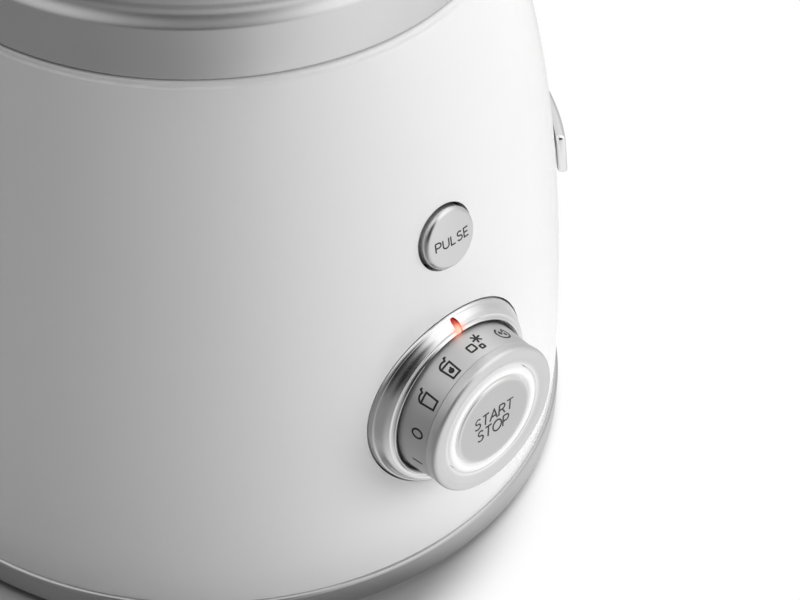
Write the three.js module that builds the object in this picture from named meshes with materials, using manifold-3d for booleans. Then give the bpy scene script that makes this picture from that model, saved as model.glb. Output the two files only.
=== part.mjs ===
// Countertop blender: motor base with its dial and buttons, drive, jug with blades, lid and filler cap.
// Millimetres, +Z up, floor at z = 0, drive axis on Z, dial towards -Y, jug handle towards +X.
import * as THREE from "three";
import { mergeVertices } from "three/addons/utils/BufferGeometryUtils.js";
import Module from "manifold-3d";

const wasm = await Module();
wasm.setup();

// ---------- clearances ----------
const seat = 0.3; // between pieces that rest on one another
const slide = 0.4; // round a piece that slides or turns

// Facets round a full circle, by the size of what is turned.
const wide = 36;
const medium = 24;
const small = 12;
const fine = 8;

// ---------- driving dimensions ----------
const foot = { radius: 8, drop: 2, socketDepth: 1.5, circle: 60, stemRadius: 2.5, stemHeight: 3 };
const cover = {
  thickness: 3.2, neckHeight: 3.5, neckWidth: 3, ventWidth: 3.5, ventLength: 34, ventPitch: 7,
  vents: 5,
};
const baseRing = { overhang: 1, width: 4.9, height: 6.2, lift: 0, roundness: 0.9 };
const housing = { bottomRadius: 80.5, topRadius: 62, height: 122.5, bulge: 5.2, shoulder: 15, wall: 3, edge: 1.2 };
const housingFlange = { width: 7.5, thickness: 3 };
const screw = {
  radius: 1.6, headRadius: 3.2, headHeight: 2, length: 14, circle: 68.5, bossRadius: 4.5,
  bossHeight: 20,
};
const deck = { radius: 54.5, thickness: 2.8, sunk: 0.2, lip: 4.5, lipThickness: 2.5, shaftHole: 5 };
const deckBoss = { topRadius: 27, footRadius: 30, height: 12, wellRadius: 19, wellFloor: 1.5 };
const deckRib = { width: 8, height: 9, reach: 51, count: 4, turn: 45 };
const gland = { height: 22, radius: 7, bore: 3.5, flange: 9.5, flangeThickness: 2, proud: 3 };

const dial = {
  height: 48.4, radius: 17.6, front: 8.5, tail: 4.4, wall: 2.2, bowlRadius: 13.2, bowlFloor: 4.6,
  web: 2.3,
};
const dialHub = { radius: 7.2, bore: 5.7, end: -14 };
const dialRing = { height: 2.8, roundness: 1.3, proud: 0.15 };
const bezel = {
  radius: 22.1, mouthRadius: 18.1, mouthFront: 1.5, proud: 0.4, depth: 8, floor: -5,
  floorThickness: 2,
};
const bezelSwell = 0.45; // how far the bell of the bezel swells from a straight cone
const pointer = { width: 1.5, outerRadius: 20.5, innerRadius: 18.4, depth: 9 };
const lightGuide = { width: 2, front: 11.2, plate: 2, tubeRadius: 5.3, tubeBore: 3.5, end: -18 };
const startButton = { front: 11.3, thickness: 2.7, stemRadius: 3.1, tipRadius: 1.2, travel: 1.2 };
const startSwitch = { radius: 3.1, height: 4.1, bore: 1.7, boreDepth: 2.4 };
const encoder = { radius: 12, front: -12 };
const board = { behind: 18.4, thickness: 1.6, width: 54, low: 28, high: 98, postRadius: 3.5, postInset: 6 };
const pulse = {
  height: 88.3, tilt: 11, radius: 6.9, gap: 0.45, proud: 1.6, depth: 2.5, stemRadius: 2,
  tipRadius: 1.2,
};
const pulseTravel = 1.2;
const pulseSwitch = { size: 8, bore: 2, boreDepth: 3, tipIn: 0.6, stemLength: 9 };
const trimBar = { low: 61, high: 71, from: 48, to: 95, stand: 2.6 };

const shaft = { radius: 4, bottom: 18, rise: 10.5 };
const bore = shaft.radius + seat; // of whatever is carried on a shaft
const core = { bottom: 52, below: 45.5, width: 84, depth: 72, chamfer: 6, bore: 20.6, airGap: 0.7 };
const coreWindow = { limb: 10, yoke: 14, spare: 1 };
const coil = { legWidth: 9.6, legInner: 8, legInset: 2.5, turnHeight: 7.5, turnRise: 2, turnInset: 5 };
const rotorSlots = { count: 8, width: 4, floor: 11 };
const winding = { radius: 17, bore: bore + 0.7, height: 8, sunk: 1.5 };
const commutator = { radius: 11, height: 11, bars: 12, slit: 0.8, slitDepth: 1.2, bottom: 30.5 };
const brush = { length: 12, width: 8, height: 8, wall: 1.6, holderLength: 18, holderIn: 2 };
const lowerBearing = { radius: 8, height: 7, bottom: 20 };
const upperBearing = { radius: 11, height: 7, below: 14.5 };
const bracket = { thickness: 3, hubWall: 3, hubFloor: 2 };
const lowerBracket = { bottom: 26, spare: -1, windowRadius: 12, windowCircle: 28 };
const upperBracket = { below: 12, spare: 3, windowRadius: 9, windowCircle: 30 };
const leg = { inset: 6, radius: 4 };
const bolt = { radius: 1.6, headRadius: 3, headHeight: 2 };
const fan = {
  radius: 36, below: 33.5, disc: 1.5, bladeHeight: 8, bladeWidth: 1.5, blades: 9, bladeStart: 14,
};
const fanHub = { radius: 8, under: 1 };
const coupling = {
  radius: 17, plate: 4, lift: 1, dogInner: 8, dogOuter: 16, dogHeight: 7.5, dogs: 6, dogAngle: 26,
};
const couplingGap = 0.6; // between the dogs of one half and the plate of the other

const collar = {
  skirt: 61.6, waist: 58.8, shoulder: 60, skirtTop: 11.5, coveTop: 16, coveDip: 1.1, top: 40,
  wall: 3,
};
const collarMouth = { lip: 2, depth: 8 };
const collarWeb = { bottom: 21, thickness: 3.3, hole: 26 };
const collarLug = { width: 8, inner: 42, bottom: 1.5, height: 8, sensingHeight: 3 };
const sensing = { radius: 2, circle: 45, travel: 3, length: 16, collar: 3.2, collarHeight: 1.5 };
const sensingSwitch = { width: 10, depth: 8, floor: 4 };
const carrier = { radius: 40, thickness: 3.4, spigot: 1, bossTop: 37, bossSlope: 3, bossLedge: 1 };
const gasket = { inner: 24, outer: 34, thickness: 2.4 };
const jug = {
  floorThickness: 4, hole: 23, neck: 4, rim: 228.5, footRadius: 51.5, rimRadius: 64, wall: 3,
  footCorner: 3, floorCorner: 5,
};
const jugSwell = 2.5; // how far the jug's side bows out from a straight cone
const spout = { push: 11, halfAngle: 24, depth: 42 };
const handle = {
  width: 22, thickness: 11, reach: 108, lean: 9, top: 205, bottom: 78, corner: 24, bite: 1.6,
};
const handleMesh = { sides: 8, steps: 18, squareness: 0.6 };
const sleeve = { wall: 2.65, below: 2, flange: 9.4, flangeHeight: 1.6 };
const bladeShaftRise = 52; // of the blade shaft above the housing
const blade = {
  lowerReach: 33, upperReach: 28, hub: 8.5, width: 12, thickness: 1.6, tip: 2, overlap: 1,
  boreReach: 5, lowerBend: -6, upperBend: 30,
};
const bladeNut = { radius: 7, overShaft: 2 };
const lid = {
  skirtRadius: 58.2, skirtDepth: 14, skirtWall: 3, brim: 68.5, brimHeight: 9, crown: 13,
  wall: 3.5, wellWall: 3, wellDrop: 2, brimSlope: 3,
};
const lidGasket = { width: 2.2, height: 4, drop: 6, bite: 0.8 };
const cap = {
  radius: 22.4, wall: 2.2, depth: 22, flange: 27, flangeHeight: 3, knobRadius: 20, knobHeight: 16,
};

// ---------- finishes ----------
const finish = (color, roughness, metalness, more = {}) =>
  new THREE.MeshStandardMaterial({ color, roughness, metalness, ...more });
const glossWhite = finish(0xf4f4f4, 0.12, 0);
const satinSilver = finish(0xb9babb, 0.32, 0.9);
const brightSilver = finish(0xd8d9da, 0.12, 1);
const blackPlastic = finish(0x1b1b1c, 0.5, 0);
const rubber = finish(0x2a2a2a, 0.85, 0);
const paleSeal = finish(0xdedcd6, 0.7, 0);
const steel = finish(0xa9abad, 0.3, 1);
const copper = finish(0xb4673a, 0.35, 1);
const greenBoard = finish(0x1f6b3f, 0.5, 0);
const carbon = finish(0x303030, 0.7, 0.2);
const litWhite = finish(0xffffff, 0.4, 0);
const litRed = finish(0xe0402c, 0.4, 0);
const clear = finish(0xe9eef0, 0.05, 0, { transparent: true, opacity: 0.3 });

// ---------- shape helpers ----------
const radians = THREE.MathUtils.degToRad;
const lerp = THREE.MathUtils.lerp;
const smooth = (t) => THREE.MathUtils.smoothstep(t, 0, 1);

// A profile of [radius, height] pairs turned round Z. Off the axis it closes on itself.
function turned(points, count = medium) {
  const path = points.map(([r, z]) => new THREE.Vector2(r, z));
  if (points[0][0] > 0) path.push(path[0].clone());
  return new THREE.LatheGeometry(path, count).rotateX(Math.PI / 2);
}

const tube = (outer, inner, z0, z1, count) =>
  turned([[inner, z0], [outer, z0], [outer, z1], [inner, z1]], count);

const rod = (radius, z0, z1, count = small) =>
  new THREE.CylinderGeometry(radius, radius, z1 - z0, count)
    .rotateX(Math.PI / 2)
    .translate(0, 0, (z0 + z1) / 2);

const block = (x0, x1, y0, y1, z0, z1) =>
  new THREE.BoxGeometry(x1 - x0, y1 - y0, z1 - z0).translate((x0 + x1) / 2, (y0 + y1) / 2, (z0 + z1) / 2);

// A block along X, centred on Y.
const beam = (x0, x1, width, z0, z1) => block(x0, x1, -width / 2, width / 2, z0, z1);

// Points of an arc in a profile, angles in degrees.
const arc = (r, z, radius, from, to, steps) =>
  Array.from({ length: steps + 1 }, (_, i) => {
    const angle = radians(lerp(from, to, i / steps));
    return [r + radius * Math.cos(angle), z + radius * Math.sin(angle)];
  });

const steps = (count, point) => Array.from({ length: count + 1 }, (_, i) => point(i / count));

function flat(points, z0, z1) {
  const outline = new THREE.Shape(points.map(([x, y]) => new THREE.Vector2(x, y)));
  return new THREE.ExtrudeGeometry(outline, { depth: z1 - z0, bevelEnabled: false }).translate(0, 0, z0);
}

// How far the middle of a facet lies inside its circle.
const facetLoss = (radius) => radius * (1 - Math.cos(Math.PI / wide));

function polar(radius, degrees) {
  const angle = radians(degrees);
  return [radius * Math.cos(angle), radius * Math.sin(angle)];
}

// ---------- solids ----------
function solid(geometry) {
  const loose = geometry.index ? geometry.toNonIndexed() : geometry;
  const bare = new THREE.BufferGeometry().setAttribute("position", loose.getAttribute("position"));
  const merged = mergeVertices(bare, 1e-4);
  const corners = merged.index.array;
  const kept = [];
  for (let i = 0; i < corners.length; i += 3) {
    const [a, b, c] = [corners[i], corners[i + 1], corners[i + 2]];
    if (a !== b && b !== c && c !== a) kept.push(a, b, c);
  }
  const vertProperties = merged.attributes.position.array;
  const close = (order) =>
    new wasm.Manifold(new wasm.Mesh({ numProp: 3, vertProperties, triVerts: new Uint32Array(order) }));
  const made = close(kept);
  return made.volume() > 0 ? made : close(kept.reverse());
}

const asSolid = (shape) => (shape.isBufferGeometry ? solid(shape) : shape);
const join = (...shapes) => shapes.map(asSolid).reduce((a, b) => a.add(b));
const cut = (shape, ...tools) => tools.map(asSolid).reduce((a, b) => a.subtract(b), asSolid(shape));
const common = (a, b) => asSolid(a).intersect(asSolid(b));
const turn = (geometry, degrees) => geometry.clone().rotateZ(radians(degrees));
const round = (count, geometry, first = 0) =>
  Array.from({ length: count }, (_, i) => turn(geometry, first + (360 * i) / count));

function geometryOf(made) {
  const mesh = made.getMesh();
  const position = new THREE.BufferAttribute(Float32Array.from(mesh.vertProperties), 3);
  const indexed = new THREE.BufferGeometry().setAttribute("position", position);
  return indexed.setIndex(new THREE.BufferAttribute(mesh.triVerts, 1)).toNonIndexed();
}

const blender = new THREE.Group();

function add(name, material, shape, parent = blender) {
  const geometry = geometryOf(asSolid(shape));
  geometry.computeVertexNormals();
  const mesh = new THREE.Mesh(geometry, material);
  mesh.name = name;
  parent.add(mesh);
  return mesh;
}

// ---------- levels worked out from the driving dimensions ----------
const coverBottom = foot.drop;
const coverTop = coverBottom + cover.thickness;
const housingBottom = coverTop + cover.neckHeight + seat;
const housingTop = housingBottom + housing.height;
const ringOuter = housing.bottomRadius + baseRing.overhang;
const ringInner = ringOuter - baseRing.width;
const coverRadius = ringInner - seat;
const deckTop = housingTop - deck.sunk;
const deckBottom = deckTop - deck.thickness;
const wellFloor = deckTop + deckBoss.wellFloor;
const coreTop = housingTop - core.below;
const upperBearingBottom = housingTop - upperBearing.below;
const upperPlateBottom = housingTop - upperBracket.below;
const fanBottom = housingTop - fan.below;
const windowReach = core.width / 2 - coreWindow.limb;
const windowHalf = core.depth / 2 - coreWindow.yoke;
const legX = core.width / 2 - leg.inset;
const legY = core.depth / 2 - leg.inset;
const upperPlateRadius = Math.hypot(legX, legY) + upperBracket.spare;
const lowerPlateRadius = Math.hypot(legX, legY) + lowerBracket.spare;

// Outer radius of the housing at a height.
function bodyRadius(z) {
  const t = (z - housingBottom) / housing.height;
  return lerp(housing.bottomRadius, housing.topRadius, t) + (4 * housing.bulge + housing.shoulder * t * t) * t * (1 - t);
}

// How far the housing's surface stands ahead of the dial's origin, seen along the dial's axis.
const bodyAhead = (x, y) => Math.sqrt(bodyRadius(dial.height + y) ** 2 - x ** 2) - bodyRadius(dial.height);

// ---------- frames of the dial and the pulse button ----------
// Local +Z points out of the body and local +Y is up.
const dialFrame = new THREE.Group();
dialFrame.position.set(0, -bodyRadius(dial.height), dial.height);
dialFrame.rotation.x = Math.PI / 2;
const pulseFrame = new THREE.Group();
pulseFrame.position.set(0, -bodyRadius(pulse.height), pulse.height);
pulseFrame.rotation.x = Math.PI / 2 - radians(pulse.tilt);
blender.add(dialFrame, pulseFrame);
blender.updateMatrixWorld(true);
const fromFrame = (frame, geometry) => geometry.clone().applyMatrix4(frame.matrixWorld);

// ---------- board, worked out early because the housing carries its posts ----------
const boardFront = -(bodyRadius(dial.height) - board.behind);
const boardPosts = [-1, 1].flatMap((side) =>
  [board.low + board.postInset, board.high - board.postInset].map((z) => {
    const x = side * (board.width / 2 - board.postInset);
    const wallY = Math.sqrt((bodyRadius(z) - housing.wall / 2) ** 2 - x ** 2);
    const length = wallY + boardFront - seat;
    return rod(board.postRadius, 0, length, fine).rotateX(-Math.PI / 2).translate(x, -wallY, z);
  }),
);

// ---------- housing ----------
const screwAngles = [0, 90, 180, 270];
const footAngles = [45, 135, 225, 315];
const at = (geometry, circle, degrees) => geometry.clone().translate(...polar(circle, degrees), 0);

function makeHousing() {
  const flangeTop = housingBottom + housingFlange.thickness;
  const innerTop = deckBottom - seat - deck.lipThickness;
  const lipRadius = deck.radius + seat - deck.lip;
  const outside = steps(6, (t) => {
    const z = lerp(housingBottom, housingTop - housing.edge, t);
    return [bodyRadius(z), z];
  });
  const edgeHeight = housingTop - housing.edge;
  const edge = arc(bodyRadius(housingTop) - housing.edge, edgeHeight, housing.edge, 30, 90, 2);
  const inside = steps(4, (t) => {
    const z = lerp(innerTop, flangeTop, t);
    return [bodyRadius(z) - housing.wall, z];
  });
  const flangeInner = bodyRadius(housingBottom) - housing.wall - housingFlange.width;
  const shell = turned(
    [
      ...outside,
      ...edge,
      [deck.radius + seat, housingTop],
      [deck.radius + seat, deckBottom - seat],
      [lipRadius, deckBottom - seat],
      [lipRadius, innerTop],
      ...inside,
      [flangeInner, flangeTop],
      [flangeInner, housingBottom],
    ],
    wide,
  );
  const bossFoot = coverTop + seat;
  const screwBoss = rod(screw.bossRadius, bossFoot, bossFoot + screw.bossHeight, fine);
  const screwHole = rod(screw.radius + seat, bossFoot - 1, bossFoot + screw.length, fine);
  const bezelHole = fromFrame(dialFrame, rod(bezel.radius + seat, -bezel.depth * 2, bezel.depth, wide));
  const pulseHole = fromFrame(pulseFrame, rod(pulse.radius + pulse.gap, -bezel.depth, bezel.depth, medium));
  const glandHole = rod(gland.radius + seat, 0, housing.bottomRadius * 2, small)
    .rotateX(-Math.PI / 2)
    .translate(0, 0, gland.height);
  const withBosses = join(shell, ...screwAngles.map((a) => at(screwBoss, screw.circle, a)), ...boardPosts);
  const screwHoles = screwAngles.map((a) => at(screwHole, screw.circle, a));
  return cut(withBosses, ...screwHoles, bezelHole, pulseHole, glandHole);
}
add("motor_housing", glossWhite, makeHousing());

// ---------- base ring, bottom cover, feet, screws, gland ----------
const ringBottom = coverBottom + baseRing.lift;
const ringTop = ringBottom + baseRing.height;
add(
  "base_ring",
  satinSilver,
  turned(
    [
      [ringInner, ringBottom],
      [ringOuter, ringBottom],
      ...arc(ringOuter - baseRing.roundness, ringTop - baseRing.roundness, baseRing.roundness, 0, 90, 3),
      [ringInner, ringTop],
    ],
    wide,
  ),
);

function makeCover() {
  const neckInner = coverRadius - cover.neckWidth;
  const body = turned(
    [
      [0, coverBottom],
      [coverRadius, coverBottom],
      [coverRadius, coverTop + cover.neckHeight],
      [neckInner, coverTop + cover.neckHeight],
      [neckInner, coverTop],
      [0, coverTop],
    ],
    wide,
  );
  const socket = rod(foot.radius + seat, 0, coverBottom + foot.socketDepth, small);
  const stemHole = rod(foot.stemRadius + seat, 0, coverTop + 1, fine);
  const headHole = rod(screw.headRadius + seat, 0, coverBottom + screw.headHeight, fine);
  const screwHole = rod(screw.radius + seat, 0, coverTop + 1, fine);
  const vents = [-1, 1].flatMap((side) =>
    Array.from({ length: cover.vents }, (_, i) => {
      const x = side * (cover.ventLength / 2 + cover.ventPitch);
      const y = (i - (cover.vents - 1) / 2) * cover.ventPitch;
      const halfLength = cover.ventLength / 2;
      const halfWidth = cover.ventWidth / 2;
      return block(x - halfLength, x + halfLength, y - halfWidth, y + halfWidth, 0, coverTop + 1);
    }),
  );
  return cut(
    body,
    ...footAngles.flatMap((a) => [at(socket, foot.circle, a), at(stemHole, foot.circle, a)]),
    ...screwAngles.flatMap((a) => [at(headHole, screw.circle, a), at(screwHole, screw.circle, a)]),
    ...vents,
  );
}
add("bottom_cover", blackPlastic, makeCover());

const footTop = coverBottom + foot.socketDepth - seat;
const stemTop = coverTop + foot.stemHeight;
const footShape = turned(
  [
    [0, 0],
    [foot.radius - 1, 0],
    [foot.radius, 1],
    [foot.radius, footTop],
    [foot.stemRadius, footTop],
    [foot.stemRadius, stemTop],
    [0, stemTop],
  ],
  small,
);
footAngles.forEach((a, i) => add("foot_" + (i + 1), rubber, at(footShape, foot.circle, a)));

const screwHeadTop = coverBottom + screw.headHeight - seat;
const screwTop = coverTop + screw.length - 1;
const screwShape = turned(
  [
    [0, coverBottom],
    [screw.headRadius, coverBottom],
    [screw.headRadius, screwHeadTop],
    [screw.radius, screwHeadTop],
    [screw.radius, screwTop],
    [0, screwTop],
  ],
  fine,
);
screwAngles.forEach((a, i) => add("cover_screw_" + (i + 1), steel, at(screwShape, screw.circle, a)));

const glandWall = bodyRadius(gland.height) - housing.wall;
const glandFlange = Math.sqrt((glandWall - facetLoss(glandWall)) ** 2 - gland.flange ** 2) - 2 * seat;
add(
  "cord_gland",
  rubber,
  turned(
    [
      [gland.bore, glandFlange - gland.flangeThickness],
      [gland.flange, glandFlange - gland.flangeThickness],
      [gland.flange, glandFlange],
      [gland.radius, glandFlange],
      [gland.radius, glandWall + housing.wall + gland.proud - 1],
      [gland.radius - 1, glandWall + housing.wall + gland.proud],
      [gland.bore, glandWall + housing.wall + gland.proud],
    ],
    small,
  )
    .rotateX(-Math.PI / 2)
    .translate(0, 0, gland.height),
);

// ---------- top deck, where the jug sits ----------
const sensingAngle = 0;
const lugStep = (deckRib.width + collarLug.width) / 2 + slide;
const lugTurn = deckRib.turn + THREE.MathUtils.radToDeg(lugStep / collarLug.inner);
function makeDeck() {
  const plate = turned(
    [
      [deck.shaftHole, deckBottom],
      [deck.radius, deckBottom],
      [deck.radius, deckTop],
      [deckBoss.footRadius, deckTop],
      [deckBoss.topRadius, deckTop + deckBoss.height],
      [deckBoss.wellRadius, deckTop + deckBoss.height],
      [deckBoss.wellRadius, wellFloor],
      [deck.shaftHole, wellFloor],
    ],
    medium,
  );
  const ribTop = deckTop + deckRib.height;
  const rib = beam(deckBoss.topRadius - 1, deckRib.reach, deckRib.width, deckTop - 1, ribTop);
  const postBottom = upperPlateBottom + bracket.thickness + seat;
  const post = rod(leg.radius, postBottom, deckBottom + 1, fine);
  const pinHole = rod(sensing.radius + slide, deckBottom - 1, deckTop + 1, fine);
  return cut(
    join(
      plate,
      ...round(deckRib.count, rib, deckRib.turn),
      ...screwAngles.map((a) => at(post, upperPlateRadius - leg.radius - 1, a + deckRib.turn)),
    ),
    at(pinHole, sensing.circle, sensingAngle),
  );
}
add("top_deck", blackPlastic, makeDeck());

// ---------- jug sensing pin and its switch ----------
const lugBottom = housingTop + collarLug.bottom;
const pinTop = lugBottom - seat;
const pinBottom = pinTop - sensing.length;
const pinCollarTop = deckBottom - seat - sensing.travel;
const pinCollarBottom = pinCollarTop - sensing.collarHeight;
const pinShape = turned(
  [
    [0, pinBottom],
    [sensing.radius, pinBottom],
    [sensing.radius, pinCollarBottom],
    [sensing.collar, pinCollarBottom],
    [sensing.collar, pinCollarTop],
    [sensing.radius, pinCollarTop],
    [sensing.radius, pinTop - 0.5],
    [sensing.radius - 0.5, pinTop],
    [0, pinTop],
  ],
  fine,
);
add("sensing_pin", blackPlastic, at(pinShape, sensing.circle, sensingAngle));

function makeSensingSwitch() {
  const top = upperPlateBottom - seat;
  const floor = pinBottom - seat;
  const halfWidth = sensingSwitch.width / 2;
  const halfDepth = sensingSwitch.depth / 2;
  const body = block(-halfDepth, halfDepth, -halfWidth, halfWidth, floor - sensingSwitch.floor, top);
  const made = cut(body, rod(sensing.radius + slide, floor, top + 1, fine));
  return at(geometryOf(made), sensing.circle, sensingAngle);
}
add("sensing_switch", blackPlastic, makeSensingSwitch());

// ---------- motor brackets ----------
const legPlaces = [[1, 1], [-1, 1], [-1, -1], [1, -1]].map(([sx, sy]) => [sx * legX, sy * legY]);
const boltPlaces = legPlaces.filter(([x, y]) => x * y > 0);
const rodsAt = (places, radius, z0, z1) =>
  places.map(([x, y]) => rod(radius, z0, z1, fine).translate(x, y, 0));
const legsBetween = (z0, z1) => rodsAt(legPlaces, leg.radius, z0, z1);
const boltHoles = (z0, z1) => rodsAt(boltPlaces, bolt.radius + seat, z0, z1);
const windowAngles = [90, 270];

const upperPlateTop = upperPlateBottom + bracket.thickness;
function makeUpperBracket() {
  const bearingTop = upperBearingBottom + upperBearing.height;
  const plate = turned(
    [
      [upperBearing.radius + seat, upperBearingBottom - seat],
      [upperBearing.radius + seat, bearingTop],
      [upperBearing.radius + seat + bracket.hubWall, bearingTop],
      [upperBearing.radius + seat + bracket.hubWall, upperPlateTop],
      [upperPlateRadius, upperPlateTop],
      [upperPlateRadius, upperPlateBottom],
      [upperBearing.radius + seat + bracket.hubWall, upperPlateBottom],
      [upperBearing.radius + seat + bracket.hubWall, upperBearingBottom - seat - bracket.hubFloor],
      [bore + slide, upperBearingBottom - seat - bracket.hubFloor],
      [bore + slide, upperBearingBottom - seat],
    ],
    medium,
  );
  const through = (radius, count) => rod(radius, upperPlateBottom - 1, upperPlateTop + 1, count);
  const window = through(upperBracket.windowRadius, small);
  const windows = windowAngles.map((a) => at(window, upperBracket.windowCircle, a));
  const pinWay = at(through(sensing.collar + slide, fine), sensing.circle, sensingAngle);
  return cut(
    join(plate, ...legsBetween(coreTop + seat, upperPlateBottom + 1)),
    ...boltHoles(coreTop, upperPlateTop + 1),
    ...windows,
    pinWay,
  );
}
add("upper_bracket", steel, makeUpperBracket());

const lowerPlateTop = lowerBracket.bottom + bracket.thickness;
function makeLowerBracket() {
  const hub = lowerBearing.radius + seat + bracket.hubWall;
  const plate = turned(
    [
      [lowerBearing.radius + seat, lowerBearing.bottom - seat],
      [lowerBearing.radius + seat, lowerPlateTop],
      [lowerPlateRadius, lowerPlateTop],
      [lowerPlateRadius, lowerBracket.bottom],
      [hub, lowerBracket.bottom],
      [hub, lowerBearing.bottom - seat - bracket.hubFloor],
      [bore + slide, lowerBearing.bottom - seat - bracket.hubFloor],
      [bore + slide, lowerBearing.bottom - seat],
    ],
    medium,
  );
  const window = rod(lowerBracket.windowRadius, lowerBracket.bottom - 1, lowerPlateTop + 1, small);
  const windows = windowAngles.map((a) => at(window, lowerBracket.windowCircle, a));
  return cut(
    join(plate, ...legsBetween(lowerPlateTop - 1, core.bottom - seat)),
    ...boltHoles(lowerBracket.bottom - 1, core.bottom),
    ...windows,
  );
}
add("lower_bracket", steel, makeLowerBracket());

const boltHead = lowerBracket.bottom - seat;
const boltShape = turned(
  [
    [0, boltHead - bolt.headHeight],
    [bolt.headRadius, boltHead - bolt.headHeight],
    [bolt.headRadius, boltHead],
    [bolt.radius, boltHead],
    [bolt.radius, upperPlateTop],
    [0, upperPlateTop],
  ],
  fine,
);
boltPlaces.forEach(([x, y], i) => {
  add("motor_bolt_" + (i + 1), steel, boltShape.clone().translate(x, y, 0));
});

// ---------- motor ----------
function makeStator() {
  const halfWidth = core.width / 2;
  const halfDepth = core.depth / 2;
  const outline = [[1, 1], [-1, 1], [-1, -1], [1, -1]].flatMap(([sx, sy]) => {
    const corner = [
      [sx * halfWidth, sy * (halfDepth - core.chamfer)],
      [sx * (halfWidth - core.chamfer), sy * halfDepth],
    ];
    return sx * sy > 0 ? corner : corner.reverse();
  });
  const stack = flat(outline, core.bottom, coreTop);
  const window = (side) => {
    const inner = side * (windowReach - coil.legWidth - 2 * seat - coreWindow.spare);
    const [x0, x1] = [inner, side * windowReach].sort((a, b) => a - b);
    return block(x0, x1, -windowHalf, windowHalf, core.bottom - 1, coreTop + 1);
  };
  return cut(
    stack,
    rod(core.bore, core.bottom - 1, coreTop + 1, medium),
    window(1),
    window(-1),
    ...boltHoles(core.bottom - 1, coreTop + 1),
  );
}
add("stator_core", steel, makeStator());

function makeCoil(side) {
  const outerX = windowReach - seat;
  const legOuter = windowHalf - coil.legInset;
  const turnOuter = core.depth / 2 - coil.turnInset;
  const innerX = outerX - coil.legWidth;
  const low = core.bottom - coil.turnRise - coil.turnHeight;
  const high = coreTop + coil.turnRise + coil.turnHeight;
  const across = (x0, x1, y0, y1, z0, z1) => {
    const [near, far] = side > 0 ? [y0, y1] : [-y1, -y0];
    return block(x0, x1, near, far, z0, z1);
  };
  const parts = [-1, 1].flatMap((s) => {
    const [x0, x1] = s > 0 ? [innerX, outerX] : [-outerX, -innerX];
    return [
      across(x0, x1, coil.legInner, legOuter, low, high),
      across(x0, x1, coil.legInner, turnOuter, low, low + coil.turnHeight),
      across(x0, x1, coil.legInner, turnOuter, high - coil.turnHeight, high),
    ];
  });
  const turnInner = turnOuter - coil.legWidth;
  parts.push(across(-outerX, outerX, turnInner, turnOuter, low, low + coil.turnHeight));
  parts.push(across(-outerX, outerX, turnInner, turnOuter, high - coil.turnHeight, high));
  return join(...parts);
}
add("field_coil_rear", copper, makeCoil(1));
add("field_coil_front", copper, makeCoil(-1));

const rotorRadius = core.bore - core.airGap;
const slotCut = beam(rotorSlots.floor, rotorRadius + 1, rotorSlots.width, core.bottom - 1, coreTop + 1);
const rotorStack = tube(rotorRadius, bore, core.bottom, coreTop, medium);
add("rotor_core", steel, cut(rotorStack, ...round(rotorSlots.count, slotCut)));

function makeWinding() {
  const bottom = core.bottom - seat;
  const top = coreTop + seat;
  const wire = rotorSlots.width - 2 * seat;
  const bar = beam(rotorSlots.floor + seat, rotorRadius - winding.sunk, wire, bottom - 1, top + 1);
  const low = tube(winding.radius, winding.bore, bottom - winding.height, bottom, small);
  const high = tube(winding.radius, winding.bore, top, top + winding.height, small);
  return join(low, high, ...round(rotorSlots.count, bar));
}
add("rotor_winding", copper, makeWinding());

function makeCommutator() {
  const top = commutator.bottom + commutator.height;
  const floor = commutator.radius - commutator.slitDepth;
  const slit = beam(floor, commutator.radius + 1, commutator.slit, commutator.bottom - 1, top + 1);
  const drum = tube(commutator.radius, bore, commutator.bottom, top, medium);
  return cut(drum, ...round(commutator.bars, slit, 180 / commutator.bars));
}
add("commutator", copper, makeCommutator());

const brushMiddle = commutator.bottom + commutator.height / 2;
const brushStart = commutator.radius + seat;
[["left", -1], ["right", 1]].forEach(([word, side]) => {
  const halfHeight = brush.height / 2;
  const halfWidth = brush.width / 2;
  const placed = (x0, x1, y, z0, z1) => {
    const [near, far] = side > 0 ? [x0, x1] : [-x1, -x0];
    return beam(near, far, 2 * y, z0, z1);
  };
  const holderStart = brushStart + brush.holderIn;
  const holderFoot = lowerPlateTop + seat;
  const shell = placed(
    holderStart, holderStart + brush.holderLength, halfWidth + seat + brush.wall,
    holderFoot, brushMiddle + halfHeight + seat + brush.wall,
  );
  const way = placed(
    holderStart - 1, holderStart + brush.holderLength + 1, halfWidth + seat,
    brushMiddle - halfHeight - seat, brushMiddle + halfHeight + seat,
  );
  add("brush_holder_" + word, blackPlastic, cut(shell, way));
  add(
    "carbon_brush_" + word,
    carbon,
    placed(
      brushStart, brushStart + brush.length, halfWidth,
      brushMiddle - halfHeight, brushMiddle + halfHeight,
    ),
  );
});

add("motor_shaft", steel, rod(shaft.radius, shaft.bottom, housingTop + shaft.rise, small));
const lowerBearingTop = lowerBearing.bottom + lowerBearing.height;
const upperBearingTop = upperBearingBottom + upperBearing.height;
add("lower_bearing", steel, tube(lowerBearing.radius, bore, lowerBearing.bottom, lowerBearingTop, small));
add("upper_bearing", steel, tube(upperBearing.radius, bore, upperBearingBottom, upperBearingTop, small));

function makeFan() {
  const discTop = fanBottom + fan.disc;
  const disc = tube(fan.radius, bore, fanBottom, discTop, small * 2);
  const bladeTop = discTop + fan.bladeHeight;
  const hub = tube(fanHub.radius, bore, fanBottom - fanHub.under, bladeTop, small);
  const vane = beam(fan.bladeStart, fan.radius - 1, fan.bladeWidth, discTop - 1, bladeTop);
  return join(disc, hub, ...round(fan.blades, vane));
}
add("cooling_fan", blackPlastic, makeFan());

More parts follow.
